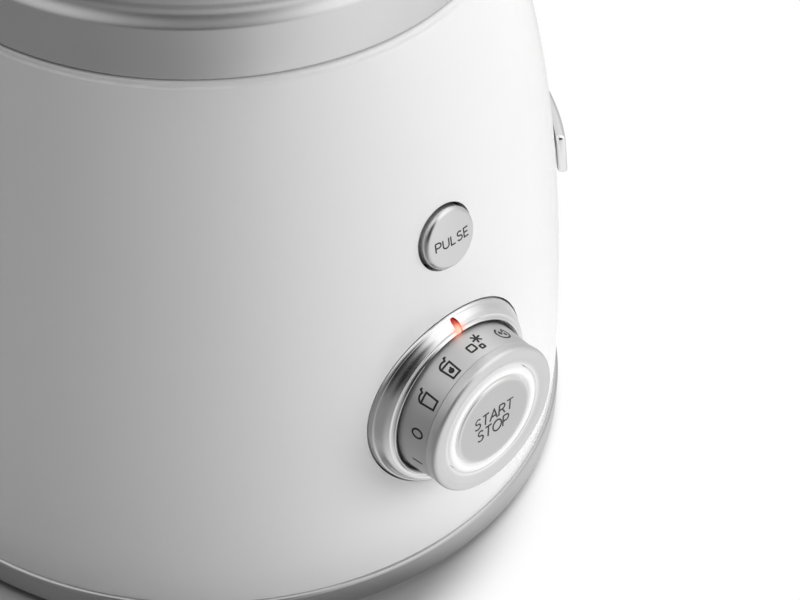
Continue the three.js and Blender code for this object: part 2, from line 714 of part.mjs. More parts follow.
// ---------- the two halves of the coupling ----------
const driveBottom = wellFloor + coupling.lift;
const drivePlateTop = driveBottom + coupling.plate;
const drivenPlateBottom = drivePlateTop + coupling.dogHeight + couplingGap;
const dog = (z0, z1) => {
  const half = coupling.dogAngle / 2;
  const corners = [
    polar(coupling.dogInner, -half), polar(coupling.dogOuter, -half), polar(coupling.dogOuter, 0),
    polar(coupling.dogOuter, half), polar(coupling.dogInner, half),
  ];
  return flat(corners, z0, z1);
};
add(
  "drive_coupling",
  blackPlastic,
  join(
    tube(coupling.radius, bore, driveBottom, drivePlateTop, medium),
    ...round(coupling.dogs, dog(drivePlateTop - 1, drivePlateTop + coupling.dogHeight)),
  ),
);

// ---------- dial group ----------
function bellDepth(r, x, y) {
  const t = (bezel.radius - r) / (bezel.radius - bezel.mouthRadius);
  const rimDepth = bodyAhead(x, y) + bezel.proud;
  return lerp(rimDepth, bezel.mouthFront, smooth(t) * 0.35 + t * 0.65) + bezelSwell * Math.sin(Math.PI * t);
}

function makeBezel() {
  const faceRadii = [0, 0.12, 0.35, 0.6, 0.82, 1].map((t) => lerp(bezel.radius, bezel.mouthRadius, t));
  const wellFloorTop = bezel.floor;
  const wellRadius = dial.radius + slide;
  const far = 100; // marks the face points until they are laid on the body
  const geometry = turned(
    [
      [bezel.radius, -bezel.depth],
      ...faceRadii.map((r) => [r, far]),
      [wellRadius, bezel.mouthFront - 0.3],
      [wellRadius, wellFloorTop],
      [dialHub.radius + slide, wellFloorTop],
      [dialHub.radius + slide, wellFloorTop - bezel.floorThickness],
      [wellRadius, wellFloorTop - bezel.floorThickness],
      [wellRadius, -bezel.depth],
    ],
    wide,
  );
  const place = geometry.getAttribute("position");
  for (let i = 0; i < place.count; i++) {
    if (place.getZ(i) < far - 1) continue;
    const x = place.getX(i);
    const y = place.getY(i);
    place.setZ(i, bellDepth(Math.hypot(x, y), x, y));
  }
  const half = pointer.width / 2 + seat;
  const slot = block(-half, half, wellRadius - 1, pointer.outerRadius + seat, -bezel.depth - 1, far);
  return cut(geometry, slot);
}
add("dial_bezel", brightSilver, makeBezel(), dialFrame);

function makePointer() {
  const half = pointer.width / 2;
  const geometry = new THREE.BoxGeometry(pointer.width, pointer.outerRadius - pointer.innerRadius, 1);
  const middle = (pointer.outerRadius + pointer.innerRadius) / 2;
  const place = geometry.getAttribute("position");
  for (let i = 0; i < place.count; i++) {
    const r = middle + place.getY(i);
    place.setY(i, r);
    place.setZ(i, place.getZ(i) > 0 ? bellDepth(r, half, r) : -pointer.depth);
  }
  return geometry;
}
add("pointer_light", litRed, makePointer(), dialFrame);

const dialWall = dial.radius - dial.wall;
add(
  "dial",
  satinSilver,
  turned(
    [
      [dialHub.bore, dialHub.end],
      [dialHub.radius, dialHub.end],
      [dialHub.radius, dial.web],
      [dialWall, dial.web],
      [dialWall, -dial.tail],
      [dial.radius, -dial.tail],
      [dial.radius, dial.front - seat],
      [dial.bowlRadius, dial.front - seat],
      [dial.bowlRadius, dial.bowlFloor],
      [dialHub.bore, dial.bowlFloor],
    ],
    medium,
  ),
  dialFrame,
);

const dialFace = dial.front + dialRing.height;
const dialRingOuter = dial.radius - dialRing.proud;
add(
  "dial_front_ring",
  satinSilver,
  turned(
    [
      [dial.bowlRadius, dial.front],
      [dialRingOuter, dial.front],
      ...arc(
        dialRingOuter - dialRing.roundness, dialFace - dialRing.roundness, dialRing.roundness, 0, 90, 3,
      ),
      [dial.bowlRadius, dialFace],
    ],
    medium,
  ),
  dialFrame,
);

const guideRadius = dial.bowlRadius - slide;
const guidePlateBack = dial.bowlFloor + slide;
const guidePlateFront = guidePlateBack + lightGuide.plate;
add(
  "light_ring",
  litWhite,
  turned(
    [
      [lightGuide.tubeBore, lightGuide.end],
      [lightGuide.tubeRadius, lightGuide.end],
      [lightGuide.tubeRadius, guidePlateBack],
      [guideRadius, guidePlateBack],
      [guideRadius, lightGuide.front],
      [guideRadius - lightGuide.width, lightGuide.front],
      [guideRadius - lightGuide.width, guidePlateFront],
      [lightGuide.tubeBore, guidePlateFront],
    ],
    medium,
  ),
  dialFrame,
);

const switchFront = -board.behind + seat + startSwitch.height;
const startButtonRadius = guideRadius - lightGuide.width - seat;
add(
  "start_button",
  satinSilver,
  turned(
    [
      [0, switchFront - 0.5],
      [startButton.tipRadius, switchFront - 0.5],
      [startButton.tipRadius, switchFront + startButton.travel + seat],
      [startButton.stemRadius, switchFront + startButton.travel + seat],
      [startButton.stemRadius, startButton.front - startButton.thickness],
      [startButtonRadius, startButton.front - startButton.thickness],
      [startButtonRadius, startButton.front - 0.4],
      [startButtonRadius - 0.4, startButton.front],
      [0, startButton.front],
    ],
    medium,
  ),
  dialFrame,
);

add(
  "start_switch",
  blackPlastic,
  cut(
    rod(startSwitch.radius, -board.behind + seat, switchFront, small),
    rod(startSwitch.bore, switchFront - startSwitch.boreDepth, switchFront + 1, fine),
  ),
  dialFrame,
);
const encoderShape = tube(encoder.radius, dialHub.radius + slide, -board.behind + seat, encoder.front, small);
add("dial_encoder", blackPlastic, encoderShape, dialFrame);

// ---------- pulse button ----------
function makePulseButton() {
  const crown = 0.5;
  const tipLength = pulseSwitch.tipIn + pulseTravel + seat;
  return turned(
    [
      [0, -pulseSwitch.stemLength],
      [pulse.tipRadius, -pulseSwitch.stemLength],
      [pulse.tipRadius, -pulseSwitch.stemLength + tipLength + 1],
      [pulse.stemRadius, -pulseSwitch.stemLength + tipLength + 1],
      [pulse.stemRadius, -pulse.depth],
      [pulse.radius, -pulse.depth],
      [pulse.radius, pulse.proud - crown],
      [pulse.radius - 0.5, pulse.proud],
      [pulse.radius * 0.6, pulse.proud + crown * 0.7],
      [0, pulse.proud + crown],
    ],
    medium,
  );
}
add("pulse_button", satinSilver, makePulseButton(), pulseFrame);

const pulseTip = new THREE.Vector3(0, 0, -pulseSwitch.stemLength).applyMatrix4(pulseFrame.matrixWorld);
function makePulseSwitch() {
  const half = pulseSwitch.size / 2;
  const front = pulseTip.y - pulseSwitch.tipIn;
  const body = block(-half, half, front, boardFront - seat, pulseTip.z - half, pulseTip.z + half);
  const hole = rod(pulseSwitch.bore, -pulseSwitch.boreDepth, 1, fine).rotateX(Math.PI / 2);
  return cut(body, hole.translate(0, front, pulseTip.z - 0.2));
}
add("pulse_switch", blackPlastic, makePulseSwitch());
add(
  "control_board",
  greenBoard,
  block(-board.width / 2, board.width / 2, boardFront, boardFront + board.thickness, board.low, board.high),
);

// ---------- blank trim bar on the side ----------
function makeTrimBar() {
  const inner = (z) => bodyRadius(z) + seat;
  const band = turned(
    [
      [inner(trimBar.low), trimBar.low],
      [inner(trimBar.low) + trimBar.stand - 0.6, trimBar.low],
      [inner(trimBar.low) + trimBar.stand, trimBar.low + 0.6],
      [inner(trimBar.high) + trimBar.stand, trimBar.high - 0.6],
      [inner(trimBar.high) + trimBar.stand - 0.6, trimBar.high],
      [inner(trimBar.high), trimBar.high],
    ],
    wide * 2,
  );
  const reach = housing.bottomRadius * 2;
  const from = trimBar.from - 90;
  const to = trimBar.to - 90;
  const wedge = [[0, 0], polar(reach, from), polar(reach, (from + to) / 2), polar(reach, to)];
  return common(band, flat(wedge, trimBar.low - 1, trimBar.high + 1));
}
add("side_trim_bar", brightSilver, makeTrimBar());

// ---------- collar: the silver foot of the jug ----------
const above = (z) => housingTop + z;
const carrierBottom = above(collarWeb.bottom + collarWeb.thickness + seat);
const carrierTop = carrierBottom + carrier.thickness;
const gasketTop = carrierTop + seat + gasket.thickness;
const jugFloor = gasketTop + seat;
const jugFloorTop = jugFloor + jug.floorThickness;
const jugRim = above(jug.rim);
const jugSide = (z) => {
  const t = (z - jugFloor) / (jugRim - jugFloor);
  return lerp(jug.footRadius, jug.rimRadius, t) + 4 * jugSwell * t * (1 - t);
};
function makeCollar() {
  const mouth = jugSide(above(collar.top)) + slide;
  const inner = collar.skirt - collar.wall;
  const cove = steps(4, (t) => {
    const dip = Math.sin(Math.PI * t) * collar.coveDip;
    const edge = lerp(collar.waist + 1.6, collar.shoulder - 0.6, t);
    return [edge - dip, above(lerp(collar.skirtTop, collar.coveTop, t))];
  });
  const shell = turned(
    [
      [inner, above(seat)],
      [collar.skirt - 0.8, above(seat)],
      [collar.skirt, above(seat + 0.8)],
      [collar.skirt - 0.5, above(collar.skirtTop / 2)],
      ...cove,
      ...steps(4, (t) => [
        lerp(collar.shoulder, mouth + collarMouth.lip, 1 - Math.cos((t * Math.PI) / 2)),
        above(lerp(collar.coveTop + 1, collar.top, Math.sin((t * Math.PI) / 2))),
      ]),
      [mouth, above(collar.top)],
      [mouth, above(collar.top - collarMouth.depth)],
      [collar.waist - collar.wall, above(collarWeb.bottom + collarWeb.thickness)],
      [collarWeb.hole, above(collarWeb.bottom + collarWeb.thickness)],
      [collarWeb.hole, above(collarWeb.bottom)],
      [collar.waist - collar.wall, above(collarWeb.bottom)],
      [collar.waist - collar.wall, above(collar.skirtTop)],
    ],
    wide,
  );
  const lugOf = (height) => beam(collarLug.inner, inner + 1, collarLug.width, lugBottom, lugBottom + height);
  const lug = lugOf(collarLug.height);
  const sensingLug = lugOf(collarLug.sensingHeight);
  return join(shell, ...round(deckRib.count, lug, lugTurn), turn(sensingLug, sensingAngle));
}
add("jug_collar", satinSilver, makeCollar());

// ---------- blade carrier, sleeve and gasket ----------
const sleeveBore = shaft.radius + slide;
const sleeveOuter = sleeveBore + sleeve.wall;
const sleeveBottom = carrierBottom - sleeve.below;
const bossTop = above(carrier.bossTop);
add(
  "blade_carrier",
  blackPlastic,
  turned(
    [
      [sleeveOuter + seat, carrierBottom - carrier.spigot],
      [collarWeb.hole - seat, carrierBottom - carrier.spigot],
      [collarWeb.hole - seat, carrierBottom],
      [carrier.radius, carrierBottom],
      [carrier.radius, carrierTop],
      [jug.hole - seat, carrierTop],
      [jug.hole - seat, bossTop - carrier.bossSlope],
      [sleeve.flange + carrier.bossLedge, bossTop],
      [sleeveOuter + seat, bossTop],
    ],
    medium,
  ),
);
add("jug_gasket", paleSeal, tube(gasket.outer, gasket.inner, carrierTop + seat, gasketTop, medium));
const sleeveTop = bossTop + seat + sleeve.flangeHeight;
add(
  "bearing_sleeve",
  steel,
  turned(
    [
      [sleeveBore, sleeveBottom],
      [sleeveOuter, sleeveBottom],
      [sleeveOuter, bossTop + seat],
      [sleeve.flange, bossTop + seat],
      [sleeve.flange, sleeveTop],
      [sleeveBore, sleeveTop],
    ],
    small,
  ),
);

// ---------- blades and what turns with them ----------
const bladeShaftTop = above(bladeShaftRise);
const drivenPlateTop = drivenPlateBottom + coupling.plate;
add("blade_shaft", steel, rod(shaft.radius, drivenPlateBottom, bladeShaftTop, small));
const drivenDog = dog(drivenPlateBottom - coupling.dogHeight, drivenPlateBottom + 1);
add(
  "driven_coupling",
  blackPlastic,
  join(
    tube(coupling.radius, bore, drivenPlateBottom, drivenPlateTop, medium),
    ...round(coupling.dogs, drivenDog, 180 / coupling.dogs),
  ),
);

function makeBlade(reach, bend, bottom, facing) {
  const half = blade.width / 2;
  const root = blade.hub - blade.overlap;
  const outline = [[root, -half], [reach - blade.tip, -half], [reach, -half * 0.2], [root, half]];
  const wing = flat(outline, 0, blade.thickness)
    .translate(-root, 0, 0)
    .rotateY(radians(-bend))
    .translate(root, 0, bottom);
  const hub = rod(blade.hub, bottom, bottom + blade.thickness, small);
  const shaftHole = rod(bore, bottom - blade.boreReach, bottom + blade.boreReach, small);
  return cut(join(hub, ...round(2, wing, facing)), shaftHole);
}
const lowerBladeBottom = sleeveTop + slide;
const upperBladeBottom = lowerBladeBottom + blade.thickness + seat;
add("lower_blades", steel, makeBlade(blade.lowerReach, blade.lowerBend, lowerBladeBottom, 0));
add("upper_blades", steel, makeBlade(blade.upperReach, blade.upperBend, upperBladeBottom, 90));

const nutBottom = upperBladeBottom + blade.thickness + seat;
const nutRoof = bladeShaftTop + seat;
add(
  "blade_nut",
  steel,
  cut(
    rod(bladeNut.radius, nutBottom, nutRoof + bladeNut.overShaft, 6),
    rod(bore, nutBottom - 1, nutRoof, small),
  ),
);

// ---------- jug ----------
// The spout pushes the wall outwards near the rim, on the -X side.
function spoutPush(x, y, z) {
  const off = Math.abs(THREE.MathUtils.radToDeg(Math.atan2(y, -x)));
  const rise = (z - (jugRim - spout.depth)) / spout.depth;
  return spout.push * smooth(1 - off / spout.halfAngle) * smooth(rise);
}
function withSpout(geometry, limit = 0) {
  const place = geometry.getAttribute("position");
  for (let i = 0; i < place.count; i++) {
    const [x, y, z] = [place.getX(i), place.getY(i), place.getZ(i)];
    const r = Math.hypot(x, y);
    if (r < limit) continue;
    const push = spoutPush(x, y, z);
    place.setXY(i, (x * (r + push)) / r, (y * (r + push)) / r);
  }
  return geometry;
}

function makeJug() {
  const neckInner = carrier.radius + slide;
  const outside = steps(5, (t) => {
    const z = lerp(jugFloor + jug.footCorner, jugRim, t ** 0.7);
    return [jugSide(z), z];
  });
  const inside = steps(5, (t) => {
    const z = lerp(jugFloorTop + jug.floorCorner, jugRim, (1 - t) ** 0.7);
    return [jugSide(z) - jug.wall, z];
  });
  const body = withSpout(
    turned(
      [
        [jug.hole, jugFloor],
        [neckInner, jugFloor],
        [neckInner, carrierBottom + seat],
        [neckInner + jug.neck, carrierBottom + seat],
        [neckInner + jug.neck, jugFloor],
        [jug.footRadius - jug.footCorner, jugFloor],
        ...outside,
        ...inside,
        [jug.footRadius - jug.wall - jug.floorCorner, jugFloorTop],
        [jug.hole, jugFloorTop],
      ],
      wide,
    ),
    jug.hole + 1,
  );
  const upper = above(handle.top);
  const lower = above(handle.bottom);
  const lowReach = handle.reach - handle.lean;
  const corner = handle.corner;
  const point = (x, z) => new THREE.Vector3(x, 0, z);
  const straight = (a, b) => new THREE.LineCurve3(point(...a), point(...b));
  const bend = (a, b, c) => new THREE.QuadraticBezierCurve3(point(...a), point(...b), point(...c));
  const route = new THREE.CurvePath();
  const outUpper = [handle.reach - corner, upper];
  const downUpper = [handle.reach, upper - corner];
  const downLower = [lowReach, lower + corner];
  const outLower = [lowReach - corner, lower];
  route.add(straight([jugSide(upper) - handle.bite, upper], outUpper));
  route.add(bend(outUpper, [handle.reach, upper], downUpper));
  route.add(straight(downUpper, downLower));
  route.add(bend(downLower, [lowReach, lower], outLower));
  route.add(straight(outLower, [jugSide(lower) - handle.bite, lower]));
  const squared = (value, half) => half * Math.sign(value) * Math.abs(value) ** handleMesh.squareness;
  const section = new THREE.Shape(
    Array.from({ length: handleMesh.sides }, (_, i) => {
      const angle = ((i + 0.5) / handleMesh.sides) * 2 * Math.PI;
      return new THREE.Vector2(
        squared(Math.cos(angle), handle.thickness / 2), squared(Math.sin(angle), handle.width / 2),
      );
    }),
  );
  const sweep = { steps: handleMesh.steps, bevelEnabled: false, extrudePath: route };
  const loop = new THREE.ExtrudeGeometry(section, sweep);
  return join(body, loop);
}
add("jug", clear, makeJug());

// ---------- lid, its gasket and the filler cap ----------
const lidBottom = jugRim + seat;
const lidBrimTop = lidBottom + lid.brimHeight;
const lidCrown = lidBottom + lid.crown;
const skirtLow = lidBottom - lid.skirtDepth;
const lidHole = cap.radius + slide;
function makeLid() {
  const grooveTop = lidBottom - lidGasket.drop + lidGasket.height + seat;
  const grooveLow = lidBottom - lidGasket.drop - seat;
  const geometry = turned(
    [
      [lid.skirtRadius - lid.skirtWall, skirtLow],
      [lid.skirtRadius, skirtLow],
      [lid.skirtRadius, grooveLow],
      [lid.skirtRadius - lidGasket.width + lidGasket.bite, grooveLow],
      [lid.skirtRadius - lidGasket.width + lidGasket.bite, grooveTop],
      [lid.skirtRadius, grooveTop],
      [lid.skirtRadius, lidBottom],
      [lid.brim, lidBottom],
      [lid.brim, lidBrimTop - lid.brimSlope],
      [lid.brim - lid.brimSlope, lidBrimTop],
      [lid.brim * 0.72, lidCrown],
      [lidHole, lidCrown],
      [lidHole, lidBottom - lid.wellDrop],
      [lidHole + lid.wellWall, lidBottom - lid.wellDrop],
      [lidHole + lid.wellWall, lidCrown - lid.wall],
      [lid.skirtRadius - lid.skirtWall, lidBrimTop - lid.wall],
    ],
    wide,
  );
  return withSpout(geometry, lid.skirtRadius + 1);
}
add("lid", blackPlastic, makeLid());

const gasketLow = lidBottom - lidGasket.drop;
const gasketInner = lid.skirtRadius - lidGasket.width + lidGasket.bite + seat;
const lidGasketOuter = jugSide(gasketLow) - jug.wall - seat;
add(
  "lid_gasket",
  paleSeal,
  turned(
    [
      [gasketInner, gasketLow],
      [lidGasketOuter - 1, gasketLow],
      [lidGasketOuter, gasketLow + lidGasket.height / 2],
      [lidGasketOuter - 1, gasketLow + lidGasket.height],
      [gasketInner, gasketLow + lidGasket.height],
    ],
    wide,
  ),
);

const capSeat = lidCrown + seat;
add(
  "filler_cap",
  clear,
  turned(
    [
      [0, capSeat - cap.depth],
      [cap.radius, capSeat - cap.depth],
      [cap.radius, capSeat],
      [cap.flange, capSeat],
      [cap.flange, capSeat + cap.flangeHeight],
      [cap.knobRadius, capSeat + cap.flangeHeight],
      [cap.knobRadius, capSeat + cap.flangeHeight + cap.knobHeight],
      [cap.knobRadius - cap.wall, capSeat + cap.flangeHeight + cap.knobHeight],
      [cap.radius - cap.wall, capSeat - cap.depth + cap.wall],
      [0, capSeat - cap.depth + cap.wall],
    ],
    medium,
  ),
);

export default blender;
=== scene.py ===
import math

import bmesh
import bpy
from mathutils import Matrix, Vector


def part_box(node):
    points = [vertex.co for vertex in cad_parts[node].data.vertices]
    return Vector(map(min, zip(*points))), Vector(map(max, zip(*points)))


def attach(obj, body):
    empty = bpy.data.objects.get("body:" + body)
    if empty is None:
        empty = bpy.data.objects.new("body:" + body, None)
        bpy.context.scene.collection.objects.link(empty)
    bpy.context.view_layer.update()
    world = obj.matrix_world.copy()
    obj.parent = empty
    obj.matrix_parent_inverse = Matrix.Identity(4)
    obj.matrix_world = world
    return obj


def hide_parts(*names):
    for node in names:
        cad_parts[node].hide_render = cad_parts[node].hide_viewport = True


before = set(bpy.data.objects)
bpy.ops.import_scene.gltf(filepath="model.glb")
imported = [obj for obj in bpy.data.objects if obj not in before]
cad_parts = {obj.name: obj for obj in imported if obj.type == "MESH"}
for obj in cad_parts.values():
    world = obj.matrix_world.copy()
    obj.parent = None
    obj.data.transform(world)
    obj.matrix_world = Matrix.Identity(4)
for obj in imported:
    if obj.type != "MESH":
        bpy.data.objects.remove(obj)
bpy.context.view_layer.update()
print("frame loaded,", len(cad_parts), "pieces")


class Sizes(dict):
    # a dictionary whose values are read as size.name; lengths are in millimetres
    __getattr__ = dict.__getitem__


class Wire:
    # a socket in a shader or geometry tree, with the nodes that can follow it
    def __init__(self, tree, socket):
        self.tree = tree
        self.socket = socket

    def node(self, kind, settings=None, inputs=None, output=0):
        made = self.tree.nodes.new(kind)
        for name, value in (settings or {}).items():
            setattr(made, name, value)
        for key, value in (inputs or {}).items():
            if isinstance(value, Wire):
                self.tree.links.new(value.socket, made.inputs[key])
            else:
                made.inputs[key].default_value = value
        return Wire(self.tree, made.outputs[output])

    def maths(self, operation, *values):
        return self.node("ShaderNodeMath", {"operation": operation}, dict(enumerate(values)))

    def vectors(self, operation, other=(0, 0, 0), output="Vector"):
        return self.node("ShaderNodeVectorMath", {"operation": operation}, {0: self, 1: other}, output)

    def __add__(self, other):
        return self.maths("ADD", self, other)

    def __sub__(self, other):
        return self.maths("SUBTRACT", self, other)

    def __rsub__(self, other):
        return self.maths("SUBTRACT", other, self)

    def __mul__(self, other):
        return self.maths("MULTIPLY", self, other)

    def __rtruediv__(self, other):
        return self.maths("DIVIDE", other, self)

    def __pow__(self, other):
        return self.maths("POWER", self, other)

    def part(self, axis):
        return self.node("ShaderNodeSeparateXYZ", {}, {0: self}, axis)

    def moved(self, centre):
        return self.vectors("SUBTRACT", centre)

    def stretched(self, scale):
        return self.vectors("MULTIPLY", scale)

    def length(self):
        return self.vectors("LENGTH", output="Value")

    def waves(self, period):
        phase = self * (2 * math.pi / period)
        return phase.maths("SINE", phase)

    def noise(self, scale, detail=2):
        return self.node("ShaderNodeTexNoise", {}, {"Vector": self, "Scale": scale, "Detail": detail})

    def band(self, low, high, fromValue=0, toValue=1):
        ends = {0: self, 1: low, 2: high, 3: fromValue, 4: toValue}
        return self.node("ShaderNodeMapRange", {"interpolation_type": "SMOOTHSTEP"}, ends)

    def colours(self, first, second):
        return self.node("ShaderNodeMix", {"data_type": "RGBA"}, {0: self, 6: first, 7: second}, 2)

    def relief(self, distance, strength=1.0):
        return self.node("ShaderNodeBump", {}, {"Height": self, "Distance": distance, "Strength": strength})


def wireFrom(tree, kind, output):
    return Wire(tree, tree.nodes.new(kind).outputs[output])


def grey(value):
    return (value, value, value, 1)


def tint(red, green, blue):
    return (red, green, blue, 1)


def shifted(colour, share=1.0, more=0.0):
    return tuple(min(1, part * share + more) for part in colour[:3]) + (1,)


def feed(shader, **inputs):
    for key, value in inputs.items():
        socket = shader.inputs[key.replace("_", " ")]
        if isinstance(value, Wire):
            value.tree.links.new(value.socket, socket)
        else:
            socket.default_value = value


def shaderOf(material):
    # the material's main shader, and the place on the surface
    tree = material.node_tree
    return tree.nodes["Principled BSDF"], wireFrom(tree, "ShaderNodeTexCoord", "Object")


def newFinish(name, colour, roughness, **sockets):
    material = bpy.data.materials.new(name)
    material.use_nodes = True
    shader, spot = shaderOf(material)
    feed(shader, Base_Color=colour, Roughness=roughness, **sockets)
    return material, shader, spot


def boxOf(node):
    # the node's lowest and highest corners in millimetres
    return [corner * 1000 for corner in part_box(node)]


def heightsOf(node):
    return [corner.z for corner in boxOf(node)]


def polar(reach, degrees):
    return reach * math.cos(math.radians(degrees)), reach * math.sin(math.radians(degrees))


def steps(start, stop, count):
    # evenly spaced values, with both ends
    return [start + (stop - start) * i / count for i in range(count + 1)]


def smoothStep(t):
    t = min(1, max(0, t))
    return t * t * (3 - 2 * t)


# the housing's wall sets where the dial and the pulse button sit and face
dialHeight = 48.4
pulseHeight = 88.3
pulseLean = 79
glandHeight = 22
housingLow, housingHigh = boxOf("motor_housing")
housingSize = Sizes(
    bottomRadius=80.5, topRadius=62, bulge=5.2, shoulder=15, wall=3, edge=1.2, footInset=0.5, footEdge=0.4,
    flange=7.5, flangeThickness=3, deckHole=54.8, lip=50.3, lipTop=128.2, lipLow=125.7, pulseHole=7.45,
    glandHole=7.3, screwCircle=68.5, postSpread=21, postRadius=3.5, postHeights=(34, 92), postDepth=18.4,
)
bezelSize = Sizes(
    radius=22.05, mouth=18.05, front=1.5, proud=0.4, swell=0.3, depth=8, floor=-5, well=18.0, hub=7.6, web=2,
    wide=1.012, high=0.955, raised=0.3, gap=0.35,
)


def bodyRadius(z):
    size = housingSize
    t = (z - housingLow.z) / (housingHigh.z - housingLow.z)
    straight = size.bottomRadius + (size.topRadius - size.bottomRadius) * t
    return straight + (4 * size.bulge + size.shoulder * t * t) * t * (1 - t)


def above(z):
    # a height over the housing's top
    return housingHigh.z + z


def lyingAt(x, y, z):
    # the place of a turned shape whose axis points to the back
    return Matrix.Translation((x, y, z)) @ Matrix.Rotation(-math.pi / 2, 4, "X")


def frontPlace(height, degrees):
    lean = Matrix.Rotation(math.radians(degrees), 4, "X")
    return Matrix.Translation((0, -bodyRadius(height), height)) @ lean


dialPlace = frontPlace(dialHeight, 90)
pulsePlace = frontPlace(pulseHeight, pulseLean)
dialCentre = dialPlace.translation * 0.001


def makeGlossWhite():
    material, shader, spot = newFinish(
        "glossWhite", grey(0.86), 0.24, Coat_Roughness=0.09, Coat_IOR=1.45, Specular_IOR_Level=0.5
    )
    cloud = spot.noise(9)
    peel = spot.noise(700, 1)
    feed(
        shader,
        Base_Color=cloud.band(0.1, 0.9).colours(grey(0.855), grey(0.865)),
        Roughness=peel.band(0.1, 0.9, 0.22, 0.26),
        Coat_Weight=cloud.band(0.1, 0.9, 0.58, 0.62),
        Normal=peel.relief(0.00002, 0.1),
    )
    return material


def makeSatinMetal(name, colour, roughness, grain=0.000003, spread=0.05, scale=2600):
    material, shader, spot = newFinish(name, colour, roughness, Metallic=1)
    fine = spot.noise(scale, 3)
    feed(
        shader,
        Base_Color=spot.noise(40).band(0.3, 0.7).colours(shifted(colour, 0.94), colour),
        Roughness=fine.band(0.3, 0.7, roughness - spread / 2, roughness + spread / 2),
        Normal=fine.relief(grain, 0.4),
    )
    return material


def makeTurnedMetal(name, colour, roughness):
    # steel with fine lines round its upright axis
    material, shader, spot = newFinish(name, colour, roughness, Metallic=1)
    path = spot.node("ShaderNodeCombineXYZ", {}, {0: spot.stretched((1, 1, 0)).length(), 1: spot.part(2)})
    streaks = path.noise(5200, 3)
    feed(
        shader,
        Base_Color=streaks.band(0.25, 0.75).colours(shifted(colour, 0.9), colour),
        Roughness=streaks.band(0.3, 0.7, roughness - 0.05, roughness + 0.07),
        Normal=streaks.relief(0.000008, 0.35),
    )
    return material


def makePlastic(name, colour, roughness, grain=0.00003, scale=1500, worn=0.04):
    material, shader, spot = newFinish(name, colour, roughness, Specular_IOR_Level=0.45)
    fine = spot.noise(scale, 2)
    feed(
        shader,
        Base_Color=spot.noise(60, 4).band(0.45, 0.8).colours(colour, shifted(colour, more=worn)),
        Roughness=fine.band(0.3, 0.7, roughness - 0.05, roughness + 0.06),
        Normal=fine.relief(grain, 0.35),
    )
    return material


def makeClear(name, colour, roughness):
    material, shader, spot = newFinish(name, colour, roughness, IOR=1.46, Transmission_Weight=1.0)
    haze = spot.noise(30, 3)
    feed(
        shader,
        Roughness=haze.band(0.45, 0.8, roughness, roughness + 0.03),
        Base_Color=haze.band(0.2, 0.8).colours(colour, tint(0.97, 0.985, 0.99)),
        Normal=spot.noise(18, 1).relief(0.0004, 0.06),
    )
    return material


def makeLaminated():
    # thin sheets stacked upwards
    material, shader, spot = newFinish("laminationSteel", grey(0.42), 0.42, Metallic=1)
    layers = spot.part(2).waves(0.0009)
    feed(
        shader,
        Base_Color=layers.band(-0.6, 0.9).colours(grey(0.2), grey(0.48)),
        Roughness=spot.noise(220).band(0.3, 0.7, 0.36, 0.5),
        Normal=layers.relief(0.00012, 0.7),
    )
    return material


def makeCopper():
    # strands of wire side by side
    material, shader, spot = newFinish("enamelledCopper", tint(0.72, 0.3, 0.13), 0.3, Metallic=1)
    strands = (spot.part(0) + spot.part(1)).waves(0.0011)
    feed(
        shader,
        Base_Color=strands.band(-0.7, 0.8).colours(tint(0.34, 0.11, 0.04), tint(0.78, 0.36, 0.17)),
        Roughness=spot.noise(180).band(0.3, 0.7, 0.24, 0.4),
        Normal=strands.relief(0.0002, 0.8),
    )
    return material


def makeBoard():
    # green board with a net of paler tracks
    material, shader, spot = newFinish("circuitBoard", tint(0.02, 0.15, 0.06), 0.4)
    flat = spot.node("ShaderNodeCombineXYZ", {}, {0: spot.part(0), 1: spot.part(2)})
    cells = flat.node("ShaderNodeTexBrick", {}, {
        "Vector": flat, "Scale": 160, "Color1": grey(0), "Color2": grey(0.1), "Mortar": grey(1),
        "Mortar Size": 0.04,
    }, "Fac")
    tracks = cells * spot.noise(90).band(0.5, 0.52)
    feed(
        shader,
        Base_Color=tracks.colours(tint(0.02, 0.15, 0.06), tint(0.09, 0.36, 0.15)),
        Roughness=spot.noise(300).band(0.3, 0.7, 0.34, 0.48),
        Normal=tracks.relief(0.00006, 0.6),
    )
    return material


# spill is how far the glow painted on the silver next to the lit ring reaches
ringLight = Sizes(inner=10.8, outer=12.8, spill=1.9, front=11.0)


def radiusRound(spot, centre):
    return spot.moved(centre).stretched((1, 0, 1)).length() * 1000


def makeLitSatin(name, colour, roughness):
    # satin silver with a glow painted round the lit ring beside it: an emission that fades away from the ring
    # on both sides
    material = makeSatinMetal(name, colour, roughness)
    shader, spot = shaderOf(material)
    reach = radiusRound(spot, dialCentre)
    inside = reach.band(ringLight.inner - ringLight.spill, ringLight.inner)
    outside = reach.band(ringLight.outer, ringLight.outer + ringLight.spill, 1, 0)
    # painted glow: strongest next to the lit ring
    glow = (inside * outside) ** 2.2
    feed(shader, Emission_Color=glow.colours(grey(0), tint(1, 0.99, 0.97)), Emission_Strength=0.32)
    return material


pointerSize = Sizes(width=1.45, start=18.35, bend=20.2, sunk=0.4, turn=2.8, crown=0.12, foot=-8.5)
pointerTurn = Matrix.Rotation(math.radians(pointerSize.turn), 4, "Z")
# the middle of the pointer's light; the red glow painted on the bezel fades out by reach from it
pointerGlow = Sizes(reach=3.2, radius=18.9, depth=1.0)
pointerSpot = 0.001 * (dialPlace @ pointerTurn @ Vector((0, pointerGlow.radius, pointerGlow.depth)))


def makeBezelMetal():
    # bright silver with a red glow painted round the pointer: a pinkish tint in its colour and a red
    # emission, both fading with distance from the pointer
    material = makeSatinMetal("bezelMetal", grey(0.74), 0.22, 0.0000003, 0.015)
    shader, spot = shaderOf(material)
    glow = (spot.moved(pointerSpot).length() * 1000).band(0.7, pointerGlow.reach, 1, 0) ** 2
    feed(
        shader,
        Base_Color=glow.colours(grey(0.74), tint(0.9, 0.45, 0.38)),
        Emission_Color=glow.colours(grey(0), tint(1, 0.32, 0.22)),
        Emission_Strength=0.5,
    )
    return material


